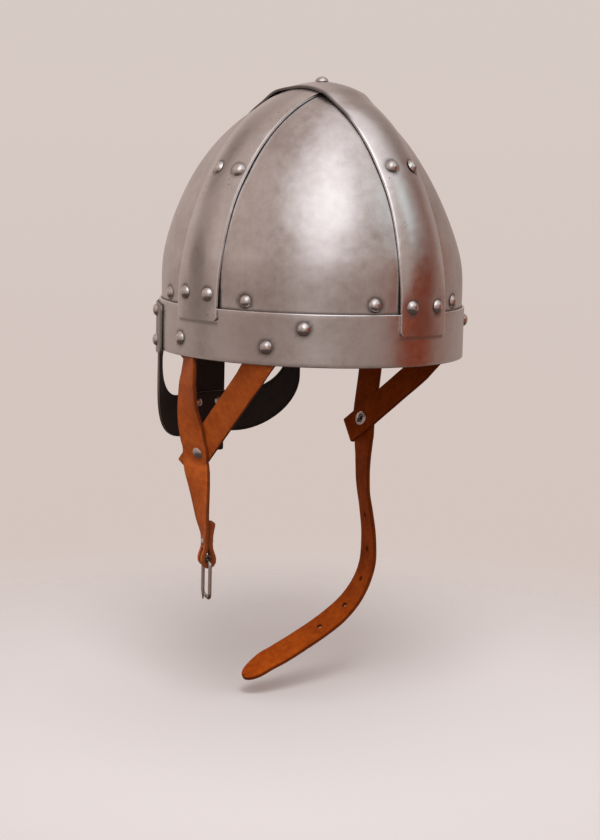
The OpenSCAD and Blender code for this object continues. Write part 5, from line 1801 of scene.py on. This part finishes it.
def lobe(azimuth, elevation, narrow, wide, stretch=1.0):
    """1 near a direction, falling to 0 between the angles narrow and wide. stretch makes it taller."""
    aim = direction(azimuth, elevation)
    side = Vector((-aim.y, aim.x, 0)).normalized()
    x, y, ahead = share_of(side), share_of(aim.cross(side)) * (1 / stretch), share_of(aim)
    off = (x * x + y * y) ** 0.5
    near = 1 - off.step(math.sin(math.radians(narrow)), math.sin(math.radians(wide)))
    return near * ahead.step(0.0, 0.1)


PATCHES = [
    (0.80, (38, 25, 12, 60), (0.76, 0.64, 0.59)),
    (0.38, (340, 25, 20, 60), (0.82, 0.70, 0.65)),
    (0.45, (275, 30, 15, 50), (0.36, 0.29, 0.265)),
    (0.80, (43, 5, 6, 20), (0.14, 0.10, 0.085)),
    (0.62, (20, 36, 6, 22), (0.17, 0.125, 0.11)),
    (0.42, (82, 17, 4, 17), (0.95, 0.82, 0.78)),
    (0.38, (130, 1, 6, 24), (0.98, 0.91, 0.90)),
    (0.55, (250, 14, 6, 22, 1.5), (0.30, 0.085, 0.04)),
    (1.00, (216, -1, 15, 31), (0.30, 0.050, 0.014)),
    (1.00, (207, 36, 5, 20, 1.2), (1.04, 1.17, 1.21)),
    (0.60, (212, 14, 6, 16), (0.28, 0.13, 0.09)),
    (1.00, (222, 72, 12, 34), (1.10, 1.04, 1.06)),
    (1.00, (139, 47, 14, 36, 1.15), (1.74, 1.72, 1.79))]
height = look.parts()[2]
below = height.step(-0.55, -0.14).between((0.10, 0.072, 0.060), (0.45, 0.355, 0.32))
surround = height.step(-0.10, 0.60).between(below, (0.56, 0.455, 0.415))
for strength, place, colour in PATCHES:
    surround = (strength * lobe(*place)).between(surround, colour)
print("a surround with", len(PATCHES), "soft patches")

# %% [markdown]
# The camera itself sees a pale plain backdrop instead of the surround. One soft lamp throws the
# shadow. The floor lies just under the lowest strap and fades into the backdrop, and mirrors and
# other surfaces don't see it.

# %% Backdrop, lamp and floor
FLOOR_DEPTH, FLOOR_RINGS = 263, (60, 200, 500, 1500)

backdrop = height.step(-0.20, 0.14).between((0.66, 0.56, 0.52), (0.68, 0.60, 0.56))
shown = sky.node("ShaderNodeLightPath", out=0).between(surround, backdrop)
background = sky.node("ShaderNodeBackground", Color=shown, Strength=1.0)
output = world_tree.nodes.new("ShaderNodeOutputWorld")
world_tree.links.new(background.socket, output.inputs["Surface"])
scene.view_settings.view_transform = "Standard"


def soft_light(name, azimuth, elevation, distance, size, power, colour):
    data = bpy.data.lights.new(name, "AREA")
    data.shape, data.size = "DISK", size
    data.energy, data.color = power, colour
    lamp = bpy.data.objects.new(name, data)
    scene.collection.objects.link(lamp)
    aim = direction(azimuth, elevation)
    lamp.location = aim * distance
    lamp.rotation_mode = "QUATERNION"
    lamp.rotation_quaternion = aim.to_track_quat("Z", "Y")
    lamp.visible_glossy = False


def add_floor():
    disc = [(radius, -FLOOR_DEPTH) for radius in (0, *FLOOR_RINGS)]
    edge = [(FLOOR_RINGS[-1] + 1, -FLOOR_DEPTH - 1), (0, -FLOOR_DEPTH - 1)]
    floor = lathed("floor", disc + edge, 64)
    material, wire, shader, place = new_material("floor")
    x, y, _ = place.parts()
    far = (x * x + y * y) ** 0.5
    shader["Base Color"].default_value = (0.69, 0.665, 0.655, 1.0)
    shader["Roughness"].default_value = 0.9
    shader["Specular IOR Level"].default_value = 0.1
    wire.feed(shader["Alpha"], 1 - far.step(180.0, 620.0))
    floor.data.materials.append(material)
    floor.visible_glossy = False
    floor.visible_diffuse = False


soft_light("key", 140, 50, 2.2, 0.9, 26, (1.0, 0.985, 0.97))
add_floor()
print("one backdrop, one lamp, one floor")
